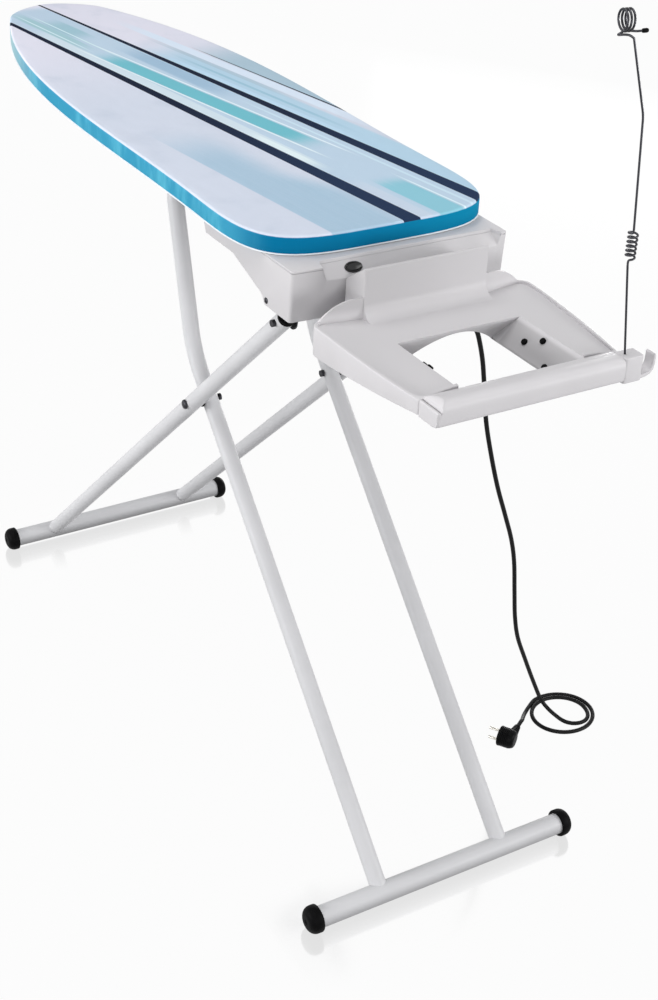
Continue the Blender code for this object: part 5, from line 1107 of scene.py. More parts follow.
class TABLE_OT_housing(bpy.types.Operator):
    """Model the fan housing and its lid, with the dome, vents, control panel and holes"""

    bl_idname = "ironing_table.housing"
    bl_label = "Fan housing"

    def execute(self, context):
        shell = slab("housing_shell", HOUSING_PROFILE, "Y", -HOUSING_HALF, HOUSING_HALF)
        round_edges(shell, 0.005, 5, self.on_corner)
        bow_front(shell, BOW_FROM[0])
        round_off(shell, 0.0022, 3, 32)
        height = HOUSING_TOP - DOME_BOTTOM - 0.006
        flat = DOME_RADIUS - DOME_ROUNDING
        edge = arc((0, DOME_ROUNDING), DOME_ROUNDING, -math.pi / 2, 0, 6)[1:]
        dome = [(flat, 0)] + [(flat + r, h) for r, h in edge] + [(DOME_RADIUS, height)]
        combine(shell, turned("dome", dome, (FAN_X, 0, DOME_BOTTOM), steps=72), "UNION")
        combine(shell, panel_wedge())
        round_edges(shell, 0.0012, 2, self.on_panel_edge)
        combine(shell, self.cavity())
        inner = DOME_RADIUS - WALL
        hollow = [(inner - 0.004, 0), (inner, 0.004), (inner, height + 0.02)]
        combine(shell, turned("hollow", hollow, (FAN_X, 0, DOME_BOTTOM + WALL), steps=72))
        combine(shell, loft("switch_hole", [oval(0.0014, -0.012), oval(0.0014, 0.006)]))
        self.cut_vents(shell)
        for _, side in SIDES:
            place = (HOUSING_FRONT, side * ARM_Y, ARM_Z)
            drill(shell, ARM_BORE, -0.02, 0.02, place, (1, 0, 0))
        drill(shell, 0.0081, -0.01, 0.01, RELIEF)
        finish(smooth(shell), "board", "white_plastic", "fan_housing")
        self.make_lid()
        return {"FINISHED"}

    def on_corner(self, at, way):
        return abs(way.y) < 0.5 and abs(at.y) > 0.16 and abs(way.z) > 0.8

    def on_panel_edge(self, at, way):
        """Edges of the slanted panel: its lower edge and its two slanted ends."""
        off = abs((at - PANEL_TOP).dot(PANEL_NORMAL))
        left, right = PANEL_ENDS
        inside = left - 0.02 < at.y < right + 0.02 and at.z > 0.89 and at.x > 0.42
        at_end = min(abs(at.y - left), abs(at.y - right)) < 0.02
        lower = off < 0.0006 and abs(way.y) > 0.9 and at.z < 0.905
        return inside and (lower or (at_end and abs(way.y) < 0.9 and at.z < HOUSING_TOP - 0.0002))

    def cavity(self):
        inner = drawn_in(HOUSING_PROFILE, WALL)
        slope = (PANEL_TOP.x - PANEL_LOW.x) / (PANEL_TOP.z - PANEL_LOW.z)
        low = PANEL_LOW - PANEL_NORMAL * WALL * 1.5
        front = HOUSING_FRONT - 0.004 - WALL
        crest = HOUSING_TOP + 0.004
        inner[0] = (inner[0][0], crest)
        inner[-1] = (front, low.z + (front - low.x) / slope)
        inner.append((low.x + (crest - low.z) * slope, crest))
        return slab("cavity", inner, "Y", WALL - HOUSING_HALF, HOUSING_HALF - WALL)

    def cut_vents(self, shell):
        for _, side in SIDES:
            for i in range(5):
                x = VENT_START + i * VENT_PITCH
                low = (x, side * VENT_Y - VENT_HALF)
                high = (x + VENT_WIDTH, side * VENT_Y + VENT_HALF)
                outline = rounded_rectangle(low, high, 0.00215, 4)
                bottom = HOUSING_SHALLOW - 0.004
                combine(shell, slab("vent", outline, "Z", bottom, HOUSING_SHALLOW + 0.004))

    def make_lid(self):
        plan = [(x, z) for z in (LID_BOTTOM, LID_TOP) for x in (HOUSING_REAR, HOUSING_FRONT)]
        profile = (plan[0], plan[1], plan[3], plan[2])
        lid = slab("housing_cover_plate", profile, "Y", -HOUSING_HALF, HOUSING_HALF)
        round_edges(lid, 0.005, 5, lambda at, way: abs(way.z) > 0.9)
        bow_front(lid, BOW_FROM[1])
        round_off(lid, 0.0008, 2, 50)
        spigot = [(0.049, -0.0015), (0.049, 0.0070), (0.0480, 0.0080)]
        combine(lid, turned("spigot", spigot, (FAN_X, 0, LID_TOP - 0.0015), steps=72), "UNION")
        drill(lid, INTAKE_RADIUS, -0.03, 0.03, (FAN_X, 0, LID_TOP), steps=72)
        combine(lid, panel_wedge())
        finish(smooth(lid), "board", "white_plastic", "housing_lid")


class TABLE_OT_switch(bpy.types.Operator):
    """Model the switch: an oval bezel with a dished rocker"""

    bl_idname = "ironing_table.switch"
    bl_label = "Rocker switch"

    def execute(self, context):
        rings = [oval(inset, out) for inset, out in BEZEL_SECTION]
        bezel = smooth(loft("switch_frame", rings, around=True), 50)
        finish(bezel, "board", "black_plastic", "switch_bezel", paint="switch_black")
        length = SWITCH_LENGTH - 0.0028
        width = SWITCH_WIDTH - 0.0028
        rings = []
        for i in range(1, 24):
            share = -math.cos(math.pi * i / 24)
            reach = width * math.sqrt(1 - share * share)
            tilt = share * length * math.tan(math.radians(6))
            crest = 0.0034 + 0.0011 * abs(share) ** 1.5 + tilt
            near, far = crest - 0.0005, crest - 0.0001
            section = [(-reach, -0.0020), (reach, -0.0020), (reach, near), (reach * 0.93, far)]
            section += [(reach * s, crest - 0.00045 * (1 - s * s)) for s in (0.6, 0, -0.6)]
            section += [(-reach * 0.93, far), (-reach, near)]
            pivot = SWITCH - PANEL_NORMAL * 0.0014
            aside = Vector((0, share * length, 0))
            rings.append([pivot + PANEL_SLOPE * u + PANEL_NORMAL * o + aside for u, o in section])
        rocker = smooth(loft("switch_rocker", rings), 50)
        finish(rocker, "rocker", "black_plastic", "rocker_switch", paint="switch_black")
        return {"FINISHED"}


class TABLE_OT_housing_fasteners(bpy.types.Operator):
    """Model the pan-head screws on the housing's sides"""

    bl_idname = "ironing_table.housing_fasteners"
    bl_label = "Housing screws"

    def execute(self, context):
        x, z = SCREW_PLACE
        for label, side in SIDES:
            screw = self.screw("screw_" + label)
            place = Matrix.Translation((x, side * HOUSING_HALF, z))
            settle(screw, place @ towards((0, side, 0)))
            finish(smooth(screw), "board", "zinc_steel", "side_screw_" + label)
        return {"FINISHED"}

    def screw(self, name):
        """A pan-head screw with a cross recess."""
        radius, head = SCREW_RADIUS, SCREW_HEAD
        profile = [(radius * 0.5, -0.0022), (radius * 0.5, GAP), (radius * 0.92, GAP)]
        profile += [(radius, 0.0005), (radius, head * 0.45), (radius * 0.86, head * 0.8)]
        profile += [(radius * 0.5, head), (radius * 0.15, head)]
        screw = turned(name, profile, steps=40)
        long, thin = radius * 0.55, radius * 0.12
        for x, y in ((thin, long), (long, thin)):
            outline = [(-x, -y), (x, -y), (x, y), (-x, y)]
            combine(screw, slab("recess", outline, "Z", head * 0.45, head * 2))
        return screw


# ---- iron rest ----


def tray_half(x):
    share = (x - TRAY_BACK) / (TRAY_FRONT - TRAY_BACK)
    return TRAY_HALF[0] + (TRAY_HALF[1] - TRAY_HALF[0]) * share * share


def tray_outline():
    corner = TRAY_CORNER
    half = TRAY_HALF[0]
    right = arc((TRAY_BACK + corner, half - corner), corner, math.pi, math.pi / 2, 10)
    for i in range(1, 11):
        x = TRAY_BACK + corner + (TRAY_FRONT - TRAY_BACK - corner) * i / 10
        right.append((x, tray_half(x)))
    return right + [(x, -y) for x, y in right[::-1]]


def ledge_point(share, side):
    y = LEDGE_HALF + (WELL_HALF - LEDGE_HALF) * share
    return side * y, DECK_Z - LEDGE_DROP * (1 - share)


class TABLE_OT_iron_rest(bpy.types.Operator):
    """Model the iron rest: skirted deck, well with ledges, low back wall and hollow upstand"""

    bl_idname = "ironing_table.iron_rest"
    bl_label = "Iron rest"

    def execute(self, context):
        outline = tray_outline()
        back, front = TRAY_BACK, TRAY_FRONT + 0.01
        low, high = SKIRT_BOTTOM - 0.01, RIM_TOP + 0.01
        tray = slab("iron_rest", outline, "Z", SKIRT_BOTTOM, RIM_TOP)
        round_off(tray, 0.0016, 3, 60)
        combine(tray, slab("step", drawn_in(outline, RIM_WIDTH), "Z", DECK_Z, high))
        combine(tray, slab("under", drawn_in(outline, SHEET), "Z", low, DECK_Z - SHEET))
        well = rounded_rectangle((WELL_X[0], -WELL_HALF), (front, WELL_HALF), SHEET)
        combine(tray, slab("well", well, "Z", SKIRT_BOTTOM, high))
        rise = [(back, low), (front, low), (front, SKIRT_BOTTOM + SKIRT_RISE)]
        rise.append((back + TRAY_CORNER, SKIRT_BOTTOM))
        combine(tray, slab("rise", rise, "Y", -TRAY_HALF[0] - 0.01, TRAY_HALF[0] + 0.01))
        self.add_ledges(tray)
        self.add_wall(tray)
        self.add_wing(tray)
        self.add_upstand(tray)
        round_off(tray, 0.0009, 2, 38)
        self.dip_arms(tray)
        finish(smooth(tray, 30), "board", "white_plastic", "iron_tray", paint="rest_plastic")
        self.make_studs()
        return {"FINISHED"}

    def dip_arms(self, tray):
        """Let the deck's arms fall off towards their outer front corners."""
        with editing(tray):
            divide(Vector((1, 0, 0)), DIP_CUTS_X)
            divide(Vector((0, 1, 0)), [side * y for y in DIP_CUTS_Y for side in (-1, 1)])
        crease = Vector((WELL_X[0], WELL_HALF))
        far = (Vector((TRAY_FRONT, TRAY_HALF[1])) - crease).dot(DIP_DIRECTION)
        for vertex in tray.data.vertices:
            x, y, z = vertex.co
            off = (Vector((x, abs(y))) - crease).dot(DIP_DIRECTION) / far
            aside = (abs(y) - WELL_HALF - SHEET) / (TRAY_HALF[1] - WELL_HALF - SHEET)
            if off > 0 and aside > 0:
                high = min(1, max(0, (z - SKIRT_BOTTOM - SKIRT_RISE) / 0.018))
                vertex.co.z -= ARM_DIP * off * min(aside, 1) * high

    def add_ledges(self, tray):
        for side in (-1, 1):
            low_y, low_z = ledge_point(LEDGE_EDGE_SHARE, side)
            high_y, high_z = ledge_point(1, side)
            out = side * SHEET
            section = [
                (low_y, low_z), (high_y, high_z), (high_y + out, high_z),
                (high_y + out, high_z - SHEET), (high_y, high_z - SHEET), (low_y, low_z - SHEET),
            ]
            back = WELL_X[0] - SHEET - WALL_LEAN
            combine(tray, slab("ledge", section, "X", back, TRAY_FRONT), "UNION")

    def add_wall(self, tray):
        """The well's back wall, leaning, with its lower edge cut out in an arch."""
        half = WELL_HALF + SHEET / 2
        top = DECK_Z - SHEET / 2
        low = WALL_LOW
        section = [(-half, top), (-half, low)]
        for i in range(33):
            share = i / 16 - 1
            section.append((share * ARCH_HALF, low + ARCH_RISE * (1 - share * share)))
        section += [(half, low), (half, top)]
        wall = slab("arched_wall", section, "X", WELL_X[0] - SHEET, WELL_X[0] - 0.0003)
        for vertex in wall.data.vertices:
            vertex.co.x -= WALL_LEAN * (top - vertex.co.z) / (top - low)
        combine(tray, wall, "UNION")

    def add_wing(self, tray):
        """The rest's raised back edge, which falls away towards its two ends."""
        root = DECK_Z - SHEET / 2
        fall = WING_TOP - DECK_Z
        reach = TRAY_HALF[0] - 0.009
        start = 0.105 - fall / 3
        rings = []
        for i in range(33):
            share = math.sin(math.pi / 2 * (i / 16 - 1))
            y = start * share + (reach - start) * math.copysign(abs(share) ** 2, share)
            aside = max(0, abs(y) - start) / (reach - start)
            top = DECK_Z + fall * max(0.02, 1 - aside ** 2.5)
            back = TRAY_BACK + 0.0013 + 0.0085 * (1 - aside) ** 1.5
            section = ((back, root), (back + SHEET, root), (back + SHEET, top), (back, top))
            rings.append([(x, y, z) for x, z in section])
        combine(tray, loft("wing", rings), "UNION")

    def add_upstand(self, tray):
        """The hollow upstand behind the deck, its cove and the two sockets for the arms."""
        root = DECK_Z - SHEET / 2
        back, front = UPSTAND
        half = UPSTAND_HALF
        top = arc((front - 0.0026, UPSTAND_TOP - 0.0026), 0.0026, 0, math.pi / 2, 5)
        outside = [(front, root), *top, (back, UPSTAND_BACK), (back, root)]
        combine(tray, slab("upstand", outside, "Y", -half, half), "UNION")
        cove = arc((front + COVE, DECK_Z + COVE), COVE, math.pi, math.pi * 3 / 2, 12)
        cove += [(front + COVE, DECK_Z - 0.001), (front - 0.001, DECK_Z - 0.001)]
        cove.append((front - 0.001, DECK_Z + COVE))
        combine(tray, slab("cove", cove, "Y", -half, half), "UNION")
        inside = [(front - SHEET, root - SHEET), (front - SHEET, UPSTAND_TOP - SHEET)]
        inside += [(back - SHEET, UPSTAND_BACK - SHEET * 2), (back - SHEET, root - SHEET)]
        combine(tray, slab("hollow", inside, "Y", SHEET - half, half - SHEET))
        profile = [(ARM_BORE, 0), (0.0110, 0), (0.0110, 0.018), (ARM_BORE, 0.018), (ARM_BORE, 0)]
        for _, side in SIDES:
            place = (front - SHEET / 2 - 0.018, side * ARM_Y, ARM_Z)
            combine(tray, turned("boss", profile, place, (1, 0, 0), 32, ring=True), "UNION")

    def make_studs(self):
        top = [(0.0027 + r, 0.0019 + h) for r, h in arc((0, 0), 0.0016, 0, math.pi / 2, 6)]
        profile = [(0.0042, GAP), (0.0043, 0.0010), *top, (0.0006, 0.0032)]
        for label, side in SIDES:
            normal = Vector((0, -side * LEDGE_DROP, WELL_HALF - LEDGE_HALF)).normalized()
            for i, (along, up) in enumerate(STUDS, 1):
                place = (WELL_X[0] + (WELL_X[1] - WELL_X[0]) * along, *ledge_point(up, side))
                stud = turned(f"stud_{label}_{i}", profile, place, normal, 32)
                finish(smooth(stud), "board", "black_rubber", f"tray_pad_{label}_{i}")


class TABLE_OT_rail_and_hook(bpy.types.Operator):
    """Model the rounded front rail and the hook block at its right end"""

    bl_idname = "ironing_table.rail_and_hook"
    bl_label = "Front rail and hook"

    def execute(self, context):
        back, front, bottom, top = RAIL
        wide, tall = front - back, top - bottom
        middle = [(back + wide * x, 0, bottom + tall * z) for x, z in RAIL_SECTION]
        section = smooth_line(middle, 0.0014)[0]
        start = RAIL_Y[0] + 0.0052
        ends = [(RAIL_Y[0] + along, height) for along, height in RAIL_LIP]
        for a in quarter(8):
            high = RAIL_SEAT + (top - RAIL_SEAT) * math.sin(a)
            ends.append((start + RAIL_ROUNDING * (1 - math.cos(a)), high))
        rings = []
        for y, high in ends + [(RAIL_Y[1] - 0.0008, top), (RAIL_Y[1], top - 0.0008)]:
            share = 1 - 0.0015 * max(0, 1 - (y - RAIL_Y[0]) / 0.003) / wide
            rings.append([(back + (p.x - back) * share, y, min(p.z, high)) for p in section])
        finish(smooth(loft("rest_rail", rings), 50), "board", "white_plastic", "front_rail")
        self.make_hook()
        return {"FINISHED"}

    def make_hook(self):
        """The block under the wire, with the tongue that hooks the cord and the wire's socket."""
        (low_x, low_y, low_z), (high_x, high_y, high_z) = BLOCK
        plan = rounded_rectangle((low_x, low_y), (high_x, high_y), 0.004, 6)
        block = slab("hook_block", plan, "Z", low_z, high_z)
        round_off(block, 0.0016, 3, 50)
        line = [Vector((0, y, z)) for y, z in TONGUE]
        left, right = [], []
        for i, point in enumerate(line):
            ahead = (line[min(i + 1, len(line) - 1)] - line[max(i - 1, 0)]).normalized()
            across = Vector((0, -ahead.z, ahead.y)) * (0.0027 - 0.0007 * i / len(line))
            left.append(tuple(point + across)[1:])
            right.append(tuple(point - across)[1:])
        tip = tuple(line[-1] + Vector((0, 0, 0.0018)))[1:]
        tongue = slab("tongue", left + [tip] + right[::-1], "X", *TONGUE_X)
        combine(block, round_off(tongue, 0.0011, 3, 35), "UNION")
        drill(block, 0.0018, 0, 0.03, POLE_FOOT - POLE_LINE * (POLE_ROOT + GAP), POLE_LINE, 20)
        finish(smooth(block), "board", "white_plastic", "cord_hook")


# ---- legs ----


def off_centre(y):
    return Vector((0, y, 0))


class TABLE_OT_legs(bpy.types.Operator):
    """Model the outer legs, the bent inner leg tube, the foot bars, their caps and the leg plugs"""

    bl_idname = "ironing_table.legs"
    bl_label = "Legs and feet"

    def execute(self, context):
        for label, side in SIDES:
            foot = OUTER_FOOT + off_centre(side * OUTER_LEG_Y)
            length = (HINGE - OUTER_FOOT).length + LEG_PAST_HINGE
            profile = [(LEG_RADIUS, 0), (LEG_RADIUS, length - 0.0005)]
            profile.append((LEG_RADIUS - 0.0005, length))
            leg = turned("outer_tube_" + label, profile, foot, OUTER_LINE)
            self.cut_saddle(leg, foot)
            finish(smooth(leg), "outer_legs", "white_paint", "outer_leg_" + label)
            self.make_plug(label, off_centre(side * OUTER_LEG_Y))
        left = off_centre(-INNER_LEG_Y)
        near = [point + left for point in (INNER_FOOT, BEND, CROSSBAR)]
        far = [point - left for point in (CROSSBAR, BEND, INNER_FOOT)]
        bends = (BEND_RADIUS, CROSSBAR_CORNER, CROSSBAR_CORNER, BEND_RADIUS)
        tube = bent_tube("inner_tube", near + far, bends, LEG_RADIUS)
        for side in (-1, 1):
            self.cut_saddle(tube, INNER_FOOT + left * side)
        finish(smooth(tube, 50), "inner_legs", "white_paint", "inner_leg_frame")
        for name, foot in (("outer", OUTER_FOOT), ("inner", INNER_FOOT)):
            profile = [(BAR_RADIUS, 0), (BAR_RADIUS, 2 * BAR_HALF)]
            bar = turned(name + "_bar", profile, foot - off_centre(BAR_HALF), (0, 1, 0), 56)
            finish(smooth(bar), name + "_legs", "white_paint", name + "_foot_bar")
            for label, side in SIDES:
                self.make_cap(name, label, side, foot)
        return {"FINISHED"}

    def cut_saddle(self, tube, foot):
        """Cut the tube's end to the round of its foot bar."""
        drill(tube, BAR_RADIUS, -LEG_RADIUS * 2, LEG_RADIUS * 2, foot, (0, 1, 0), 56)

    def make_plug(self, label, aside):
        r = LEG_RADIUS
        profile = [(0.0110, -0.005), (0.0112, GAP), (r - 0.0004, GAP), (r, 0.0007), (r, 0.0022)]
        for a in quarter(8)[1:-1]:
            profile.append((r * math.cos(a), 0.0022 + 0.0038 * math.sin(a)))
        place = HINGE + OUTER_LINE * LEG_PAST_HINGE + aside
        plug = turned("tube_plug_" + label, profile, place, OUTER_LINE)
        finish(smooth(plug), "outer_legs", "black_plastic", "leg_plug_" + label)

    def make_cap(self, name, label, side, foot):
        """A domed rubber cap, flattened where it stands on the floor."""
        inner = BAR_RADIUS + GAP
        wide, long, dome = CAP_RADIUS, CAP_LENGTH, 0.0125
        profile = [(inner, 0), (wide - 0.0016, 0), (wide - 0.0005, 0.0005), (wide, 0.0016)]
        profile.append((wide, long - dome))
        for a in quarter(12)[1:]:
            profile.append((wide - dome + dome * math.cos(a), long - dome + dome * math.sin(a)))
        profile += [(0.004, long), (0.004, long - 0.0006), (0.001, long - 0.0006)]
        profile += [(0.001, CAP_GRIP), (inner, CAP_GRIP), (inner, 0)]
        place = foot + off_centre(side * (BAR_HALF + GAP - CAP_GRIP))
        cap = turned(f"{name}_cap_{label}", profile, place, (0, side, 0), 64, ring=True)
        for vertex in cap.data.vertices:
            vertex.co.z = max(vertex.co.z, 0)
        finish(smooth(cap), name + "_legs", "black_rubber", f"{name}_foot_cap_{label}")


class TABLE_OT_pivots(bpy.types.Operator):
    """Model the bolts, spacers and nuts where the legs cross"""

    bl_idname = "ironing_table.pivots"
    bl_label = "Leg pivots"

    def execute(self, context):
        outside = OUTER_LEG_Y + LEG_RADIUS + GAP
        inside = INNER_LEG_Y - LEG_RADIUS - GAP
        tip = outside - inside + 0.005
        bolt = [(0.0018, -0.0042), (0.0044, -0.0039), (0.0064, -0.0031), (0.0073, -0.0019)]
        bolt += [(0.0075, -0.0008), (0.0075, 0), (0.003, 0), (0.003, tip - 0.0005), (0.0025, tip)]
        gap = (OUTER_LEG_Y - LEG_RADIUS) - (INNER_LEG_Y + LEG_RADIUS) - 2 * GAP
        bore, wide = BOLT_BORE, SPACER_RADIUS
        sleeve = [(bore, 0), (wide - 0.0004, 0), (wide, 0.0004), (wide, gap - 0.0004)]
        sleeve += [(wide - 0.0004, gap), (bore, gap), (bore, 0)]
        for label, side in SIDES:
            inwards = (0, -side, 0)
            place = PIVOT + off_centre(side * outside)
            piece = turned("bolt_" + label, bolt, place, inwards, 40)
            finish(smooth(piece), "outer_legs", "zinc_steel", "pivot_bolt_" + label)
            place = PIVOT + off_centre(side * (OUTER_LEG_Y - LEG_RADIUS - GAP))
            spacer = turned("spacer_" + label, sleeve, place, inwards, ring=True)
            finish(smooth(spacer), "outer_legs", "black_plastic", "pivot_spacer_" + label)
            nut = turned("nut_" + label, [(0.0060, 0), (0.0060, 0.005)], steps=6)
            crown = turned("crown", [(0.0064, 0), (0.0052, 0.0056)], (0, 0, 0.0004), steps=40)
            combine(nut, crown, "INTERSECT")
            drill(nut, bore, -0.01, 0.01)
            settle(nut, Matrix.Translation(PIVOT + off_centre(side * inside)) @ towards(inwards))
            finish(smooth(nut, 25), "outer_legs", "zinc_steel", "pivot_nut_" + label)
        return {"FINISHED"}


class TABLE_OT_release(bpy.types.Operator):
    """Model the release rod, its ribbed grip and the lever's return spring"""

    bl_idname = "ironing_table.release"
    bl_label = "Height release"

    def execute(self, context):
        profile = [(0.0045, 0), (ROD_RADIUS, 0.0005), (ROD_RADIUS, 0.1875), (0.0045, 0.188)]
        bar = turned("release_bar", profile, ROD - off_centre(0.018), (0, 1, 0), 32)
        finish(smooth(bar), "release_lever", "zinc_steel", "release_rod")
        length = GRIP_ENDS[1] - GRIP_ENDS[0]
        profile = [(0.0053, 0), (0.0088, 0), (0.0096, 0.0006)]
        for i in range(1, 60):
            share = i / 60
            waist = 0.0013 * math.sin(math.pi * share)
            rib = 0.00045 * math.cos(math.tau * share * GRIP_RIBS)
            profile.append((0.0110 - waist + rib, length * share))
        profile += [(0.0096, length - 0.0006), (0.0088, length), (0.0053, length), (0.0053, 0)]
        place = ROD + off_centre(GRIP_ENDS[0])
        grip = turned("release_handle", profile, place, (0, 1, 0), 40, ring=True)
        finish(smooth(grip, 50), "release_lever", "black_plastic", "release_grip")
        bottom, top = SPRING_ENDS
        line = []
        for i in range(SPRING_TURNS * 24 + 1):
            angle = math.tau * i / 24
            height = bottom + (top - bottom) * i / (SPRING_TURNS * 24)
            x, y = SPRING_RADIUS * math.cos(angle), SPRING_RADIUS * math.sin(angle)
            line.append((SPRING_X + x, y, height))
        coil = smooth(as_mesh(wire("return_spring", line, 0.0007)), 60)
        finish(coil, "board", "spring_steel", "lever_spring")
        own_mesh(coil)
        return {"FINISHED"}


# ---- cord holder ----


def bend_points(corner, across, along):
    """Points of a tight bend in the wire between two directions, from its corner."""
    points = []
    for a in quarter(5)[1:]:
        points.append(corner + across * (1 - math.cos(a)) + along * math.sin(a))
    return points


def holder_points(per_turn=28):
    """Upper wire: a stub, the coil's turns, a kinked run and the looped eye."""
    up = Vector((0, 0, 1))

    def outwards(angle):
        return Vector((math.cos(angle), math.sin(angle), 0))

    def onwards(angle):
        return Vector((-math.sin(angle), math.cos(angle), 0))

    corner = up * GAP + up * 0.003
    ahead = onwards(COIL_START)
    points = [up * GAP, corner]
    points += bend_points(corner, ahead * WIRE_BEND, up * WIRE_BEND)[:-1]
    centre = corner + ahead * WIRE_BEND - outwards(COIL_START) * COIL_RADIUS + up * WIRE_BEND
    count = round(COIL_TURNS * per_turn)
    for i in range(count + 1):
        angle = COIL_START + math.tau * COIL_TURNS * i / count
        rise = up * (COIL_PITCH * COIL_TURNS * i / count)
        points.append(centre + outwards(angle) * COIL_RADIUS + rise)
    points += bend_points(points[-1], up * WIRE_BEND, onwards(angle) * WIRE_BEND)
    eye = eye_points(per_turn)
    return points + rounded_corner([points[-1] + up * 0.003, KINK - FLEX, eye[0]], 0.05) + eye


def rounded_corner(corners, radius, steps=8):
    """Points of a run with its one inner corner rounded, without the last point."""
    back = (corners[0] - corners[1]).normalized()
    ahead = (corners[2] - corners[1]).normalized()
    half = back.angle(ahead) / 2
    reach = radius / math.tan(half)
    middle = corners[1] + (back + ahead).normalized() * (radius / math.sin(half))
    start = corners[1] + back * reach - middle
    axis = start.cross(corners[1] + ahead * reach - middle).normalized()
    turn = math.pi - 2 * half
    run = [middle + Quaternion(axis, turn * i / steps) @ start for i in range(steps + 1)]
    return [corners[0]] + run


def eye_points(per_turn):
    """The eye that holds the cord: a lead-in, its turns and a loose end."""
    along = Vector((math.sin(EYE_YAW), math.cos(EYE_YAW), 0))
    across = Vector((math.cos(EYE_YAW), -math.sin(EYE_YAW), 0))
    up = Vector((0, 0, 1))
    foot = EYE_FOOT - FLEX

    def point(a, b, c):
        return foot + along * a + across * b + up * c

    count = round(EYE_TURNS * per_turn)
    turns = []
    for i in range(count + 1):
        angle = EYE_START + math.tau * EYE_TURNS * i / count
        sideways = EYE_RADIUS * math.sin(angle)
        rise = EYE_RADIUS * (1 - math.cos(angle))
        turns.append(point(EYE_PITCH * EYE_TURNS * i / count, sideways, rise))
    lead = smooth_line([point(*p) for p in EYE_LEAD] + [turns[0]], 0.0012)[0][:-1]
    end = smooth_line([turns[-1]] + [point(*p) for p in EYE_END], 0.0015)[0][1:]
    return lead + turns + end


class TABLE_OT_cord_holder(bpy.types.Operator):
    """Model the sprung wire that holds the iron's cord, with its coil, looped eye and black tip"""

    bl_idname = "ironing_table.cord_holder"
    bl_label = "Cord holder"

    def execute(self, context):
        length = POLE_ROOT + POLE_RISE - GAP
        profile = [(WIRE_RADIUS, 0), (WIRE_RADIUS, length - GAP), (WIRE_RADIUS - GAP, length)]
        pole = turned("holder_rod", profile, POLE_FOOT - POLE_LINE * POLE_ROOT, POLE_LINE, 24)
        finish(smooth(pole), "holder_pole", "spring_steel", "holder_pole")
        points = [FLEX + point for point in holder_points()]
        upper = smooth(as_mesh(wire("holder_coil_and_eye", points, WIRE_RADIUS)), 60)
        finish(upper, "holder_top", "spring_steel", "holder_wire")
        ahead = (points[-1] - points[-2]).normalized()
        profile = [(0.0014, 0), (0.0023, 0.0006), (0.0026, 0.0020), (0.0026, 0.0058)]
        profile += [(0.0022, 0.0072), (0.0014, 0.0079), (0.0006, 0.0080)]
        tip = turned("holder_bead", profile, points[-1] + ahead * GAP, ahead, 32)
        finish(smooth(tip), "holder_top", "black_plastic", "holder_tip")
        return {"FINISHED"}


# ---- mains cord ----


class TABLE_OT_mains_cord(bpy.types.Operator):
    """Model the mains cord, its strain relief and its two-pin plug"""

    bl_idname = "ironing_table.mains_cord"
    bl_label = "Mains cord and plug"

    def execute(self, context):
        relief = self.relief()
        points, length = smooth_line(CORD_ROUTE, 0.006)
        cord = wire("mains_lead", points, CORD_RADIUS, 4)
        finish(cord, "board", "black_plastic", "mains_cord", paint="cord_sheath")
        plug = self.plug(points)
        return {"FINISHED"}

    def relief(self):
        """A tapered boot with grooves that let it bend, and its collar inside the housing."""
        profile = [(0.0052, -0.0337)]
        for i in range(7):
            share = i / 7
            radius = 0.0052 + 0.0026 * share
            height = -0.0330 + BOOT_LENGTH * share
            profile += [(radius, height), (radius + 0.0002, height + 0.0026)]
            profile += [(radius - 0.0008, height + 0.0030), (radius - 0.0008, height + 0.0040)]
        profile += [(0.0078, -0.0030), (0.0078, 0.0031), (0.0095, 0.0031), (0.0095, 0.0058)]
        profile.append((0.0090, 0.0061))
        boot = turned("cord_boot", profile, RELIEF, steps=40)
        return finish(smooth(boot, 50), "board", "black_rubber", "strain_relief")

    def plug(self, points):
        """A round two-pin plug that lies on the floor, with a grooved neck round the cord."""
        ahead = (points[-1] - points[-2]).normalized()
        ahead.z = 0
        out = Vector((ahead.y, -ahead.x, 0))
        middle = points[-1] + ahead * 0.036 + out * 0.004
        profile = [(0.0095, -0.0140), (0.0118, -0.0136), (0.0136, -0.0124), (0.0152, -0.0096)]
        profile.append((0.0163, -0.0064))
        for i in range(5):
            base = -0.0050 + i * 0.0030
            profile += [(0.0166, base), (0.0166, base + 0.0016)]
            profile += [(0.0159, base + 0.0020), (0.0159, base + 0.0026)]
        profile += [(0.0166, 0.0100), (PLUG_RADIUS, 0.0108), (PLUG_RADIUS, 0.0132)]
        profile.append((PLUG_RADIUS - 0.0008, 0.0140))
        body = turned("plug_body", profile, middle, out, 56)
        neck = [(0.0050, 0), (0.0054, 0.0006)]
        for i in range(5):
            share = i / 5
            r = 0.0054 + 0.0032 * share
            neck += [(r, 0.0010 + 0.022 * share), (r + GAP, 0.0034 + 0.022 * share)]
            neck += [(r - 0.0006, h + 0.022 * share) for h in (0.0038, 0.0048)]
        neck += [(0.0092, 0.0246), (0.0092, 0.0308)]
        combine(body, turned("neck", neck, points[-1] + ahead * GAP, ahead, 40), "UNION")
        pin = [(0.0024, GAP), (0.0024, 0.0256), (0.0022, 0.0263), (0.0017, 0.0268)]
        pin.append((0.0008, 0.0270))
        pins = []
        for label, side in (("upper", 1), ("lower", -1)):
            face = middle + out * 0.014 + Vector((0, 0, side * PIN_Z))
            drill(body, 0.0027, -0.008, 0.01, face, out)
            piece = turned("pin_" + label, pin, face - out * 0.008, out, 32)
            pins.append(finish(smooth(piece), "board", "nickel", "plug_pin_" + label))
        finish(smooth(body, 40), "board", "black_plastic", "mains_plug")
        return [body, *pins]


# ---- carried-over CAD pieces ----


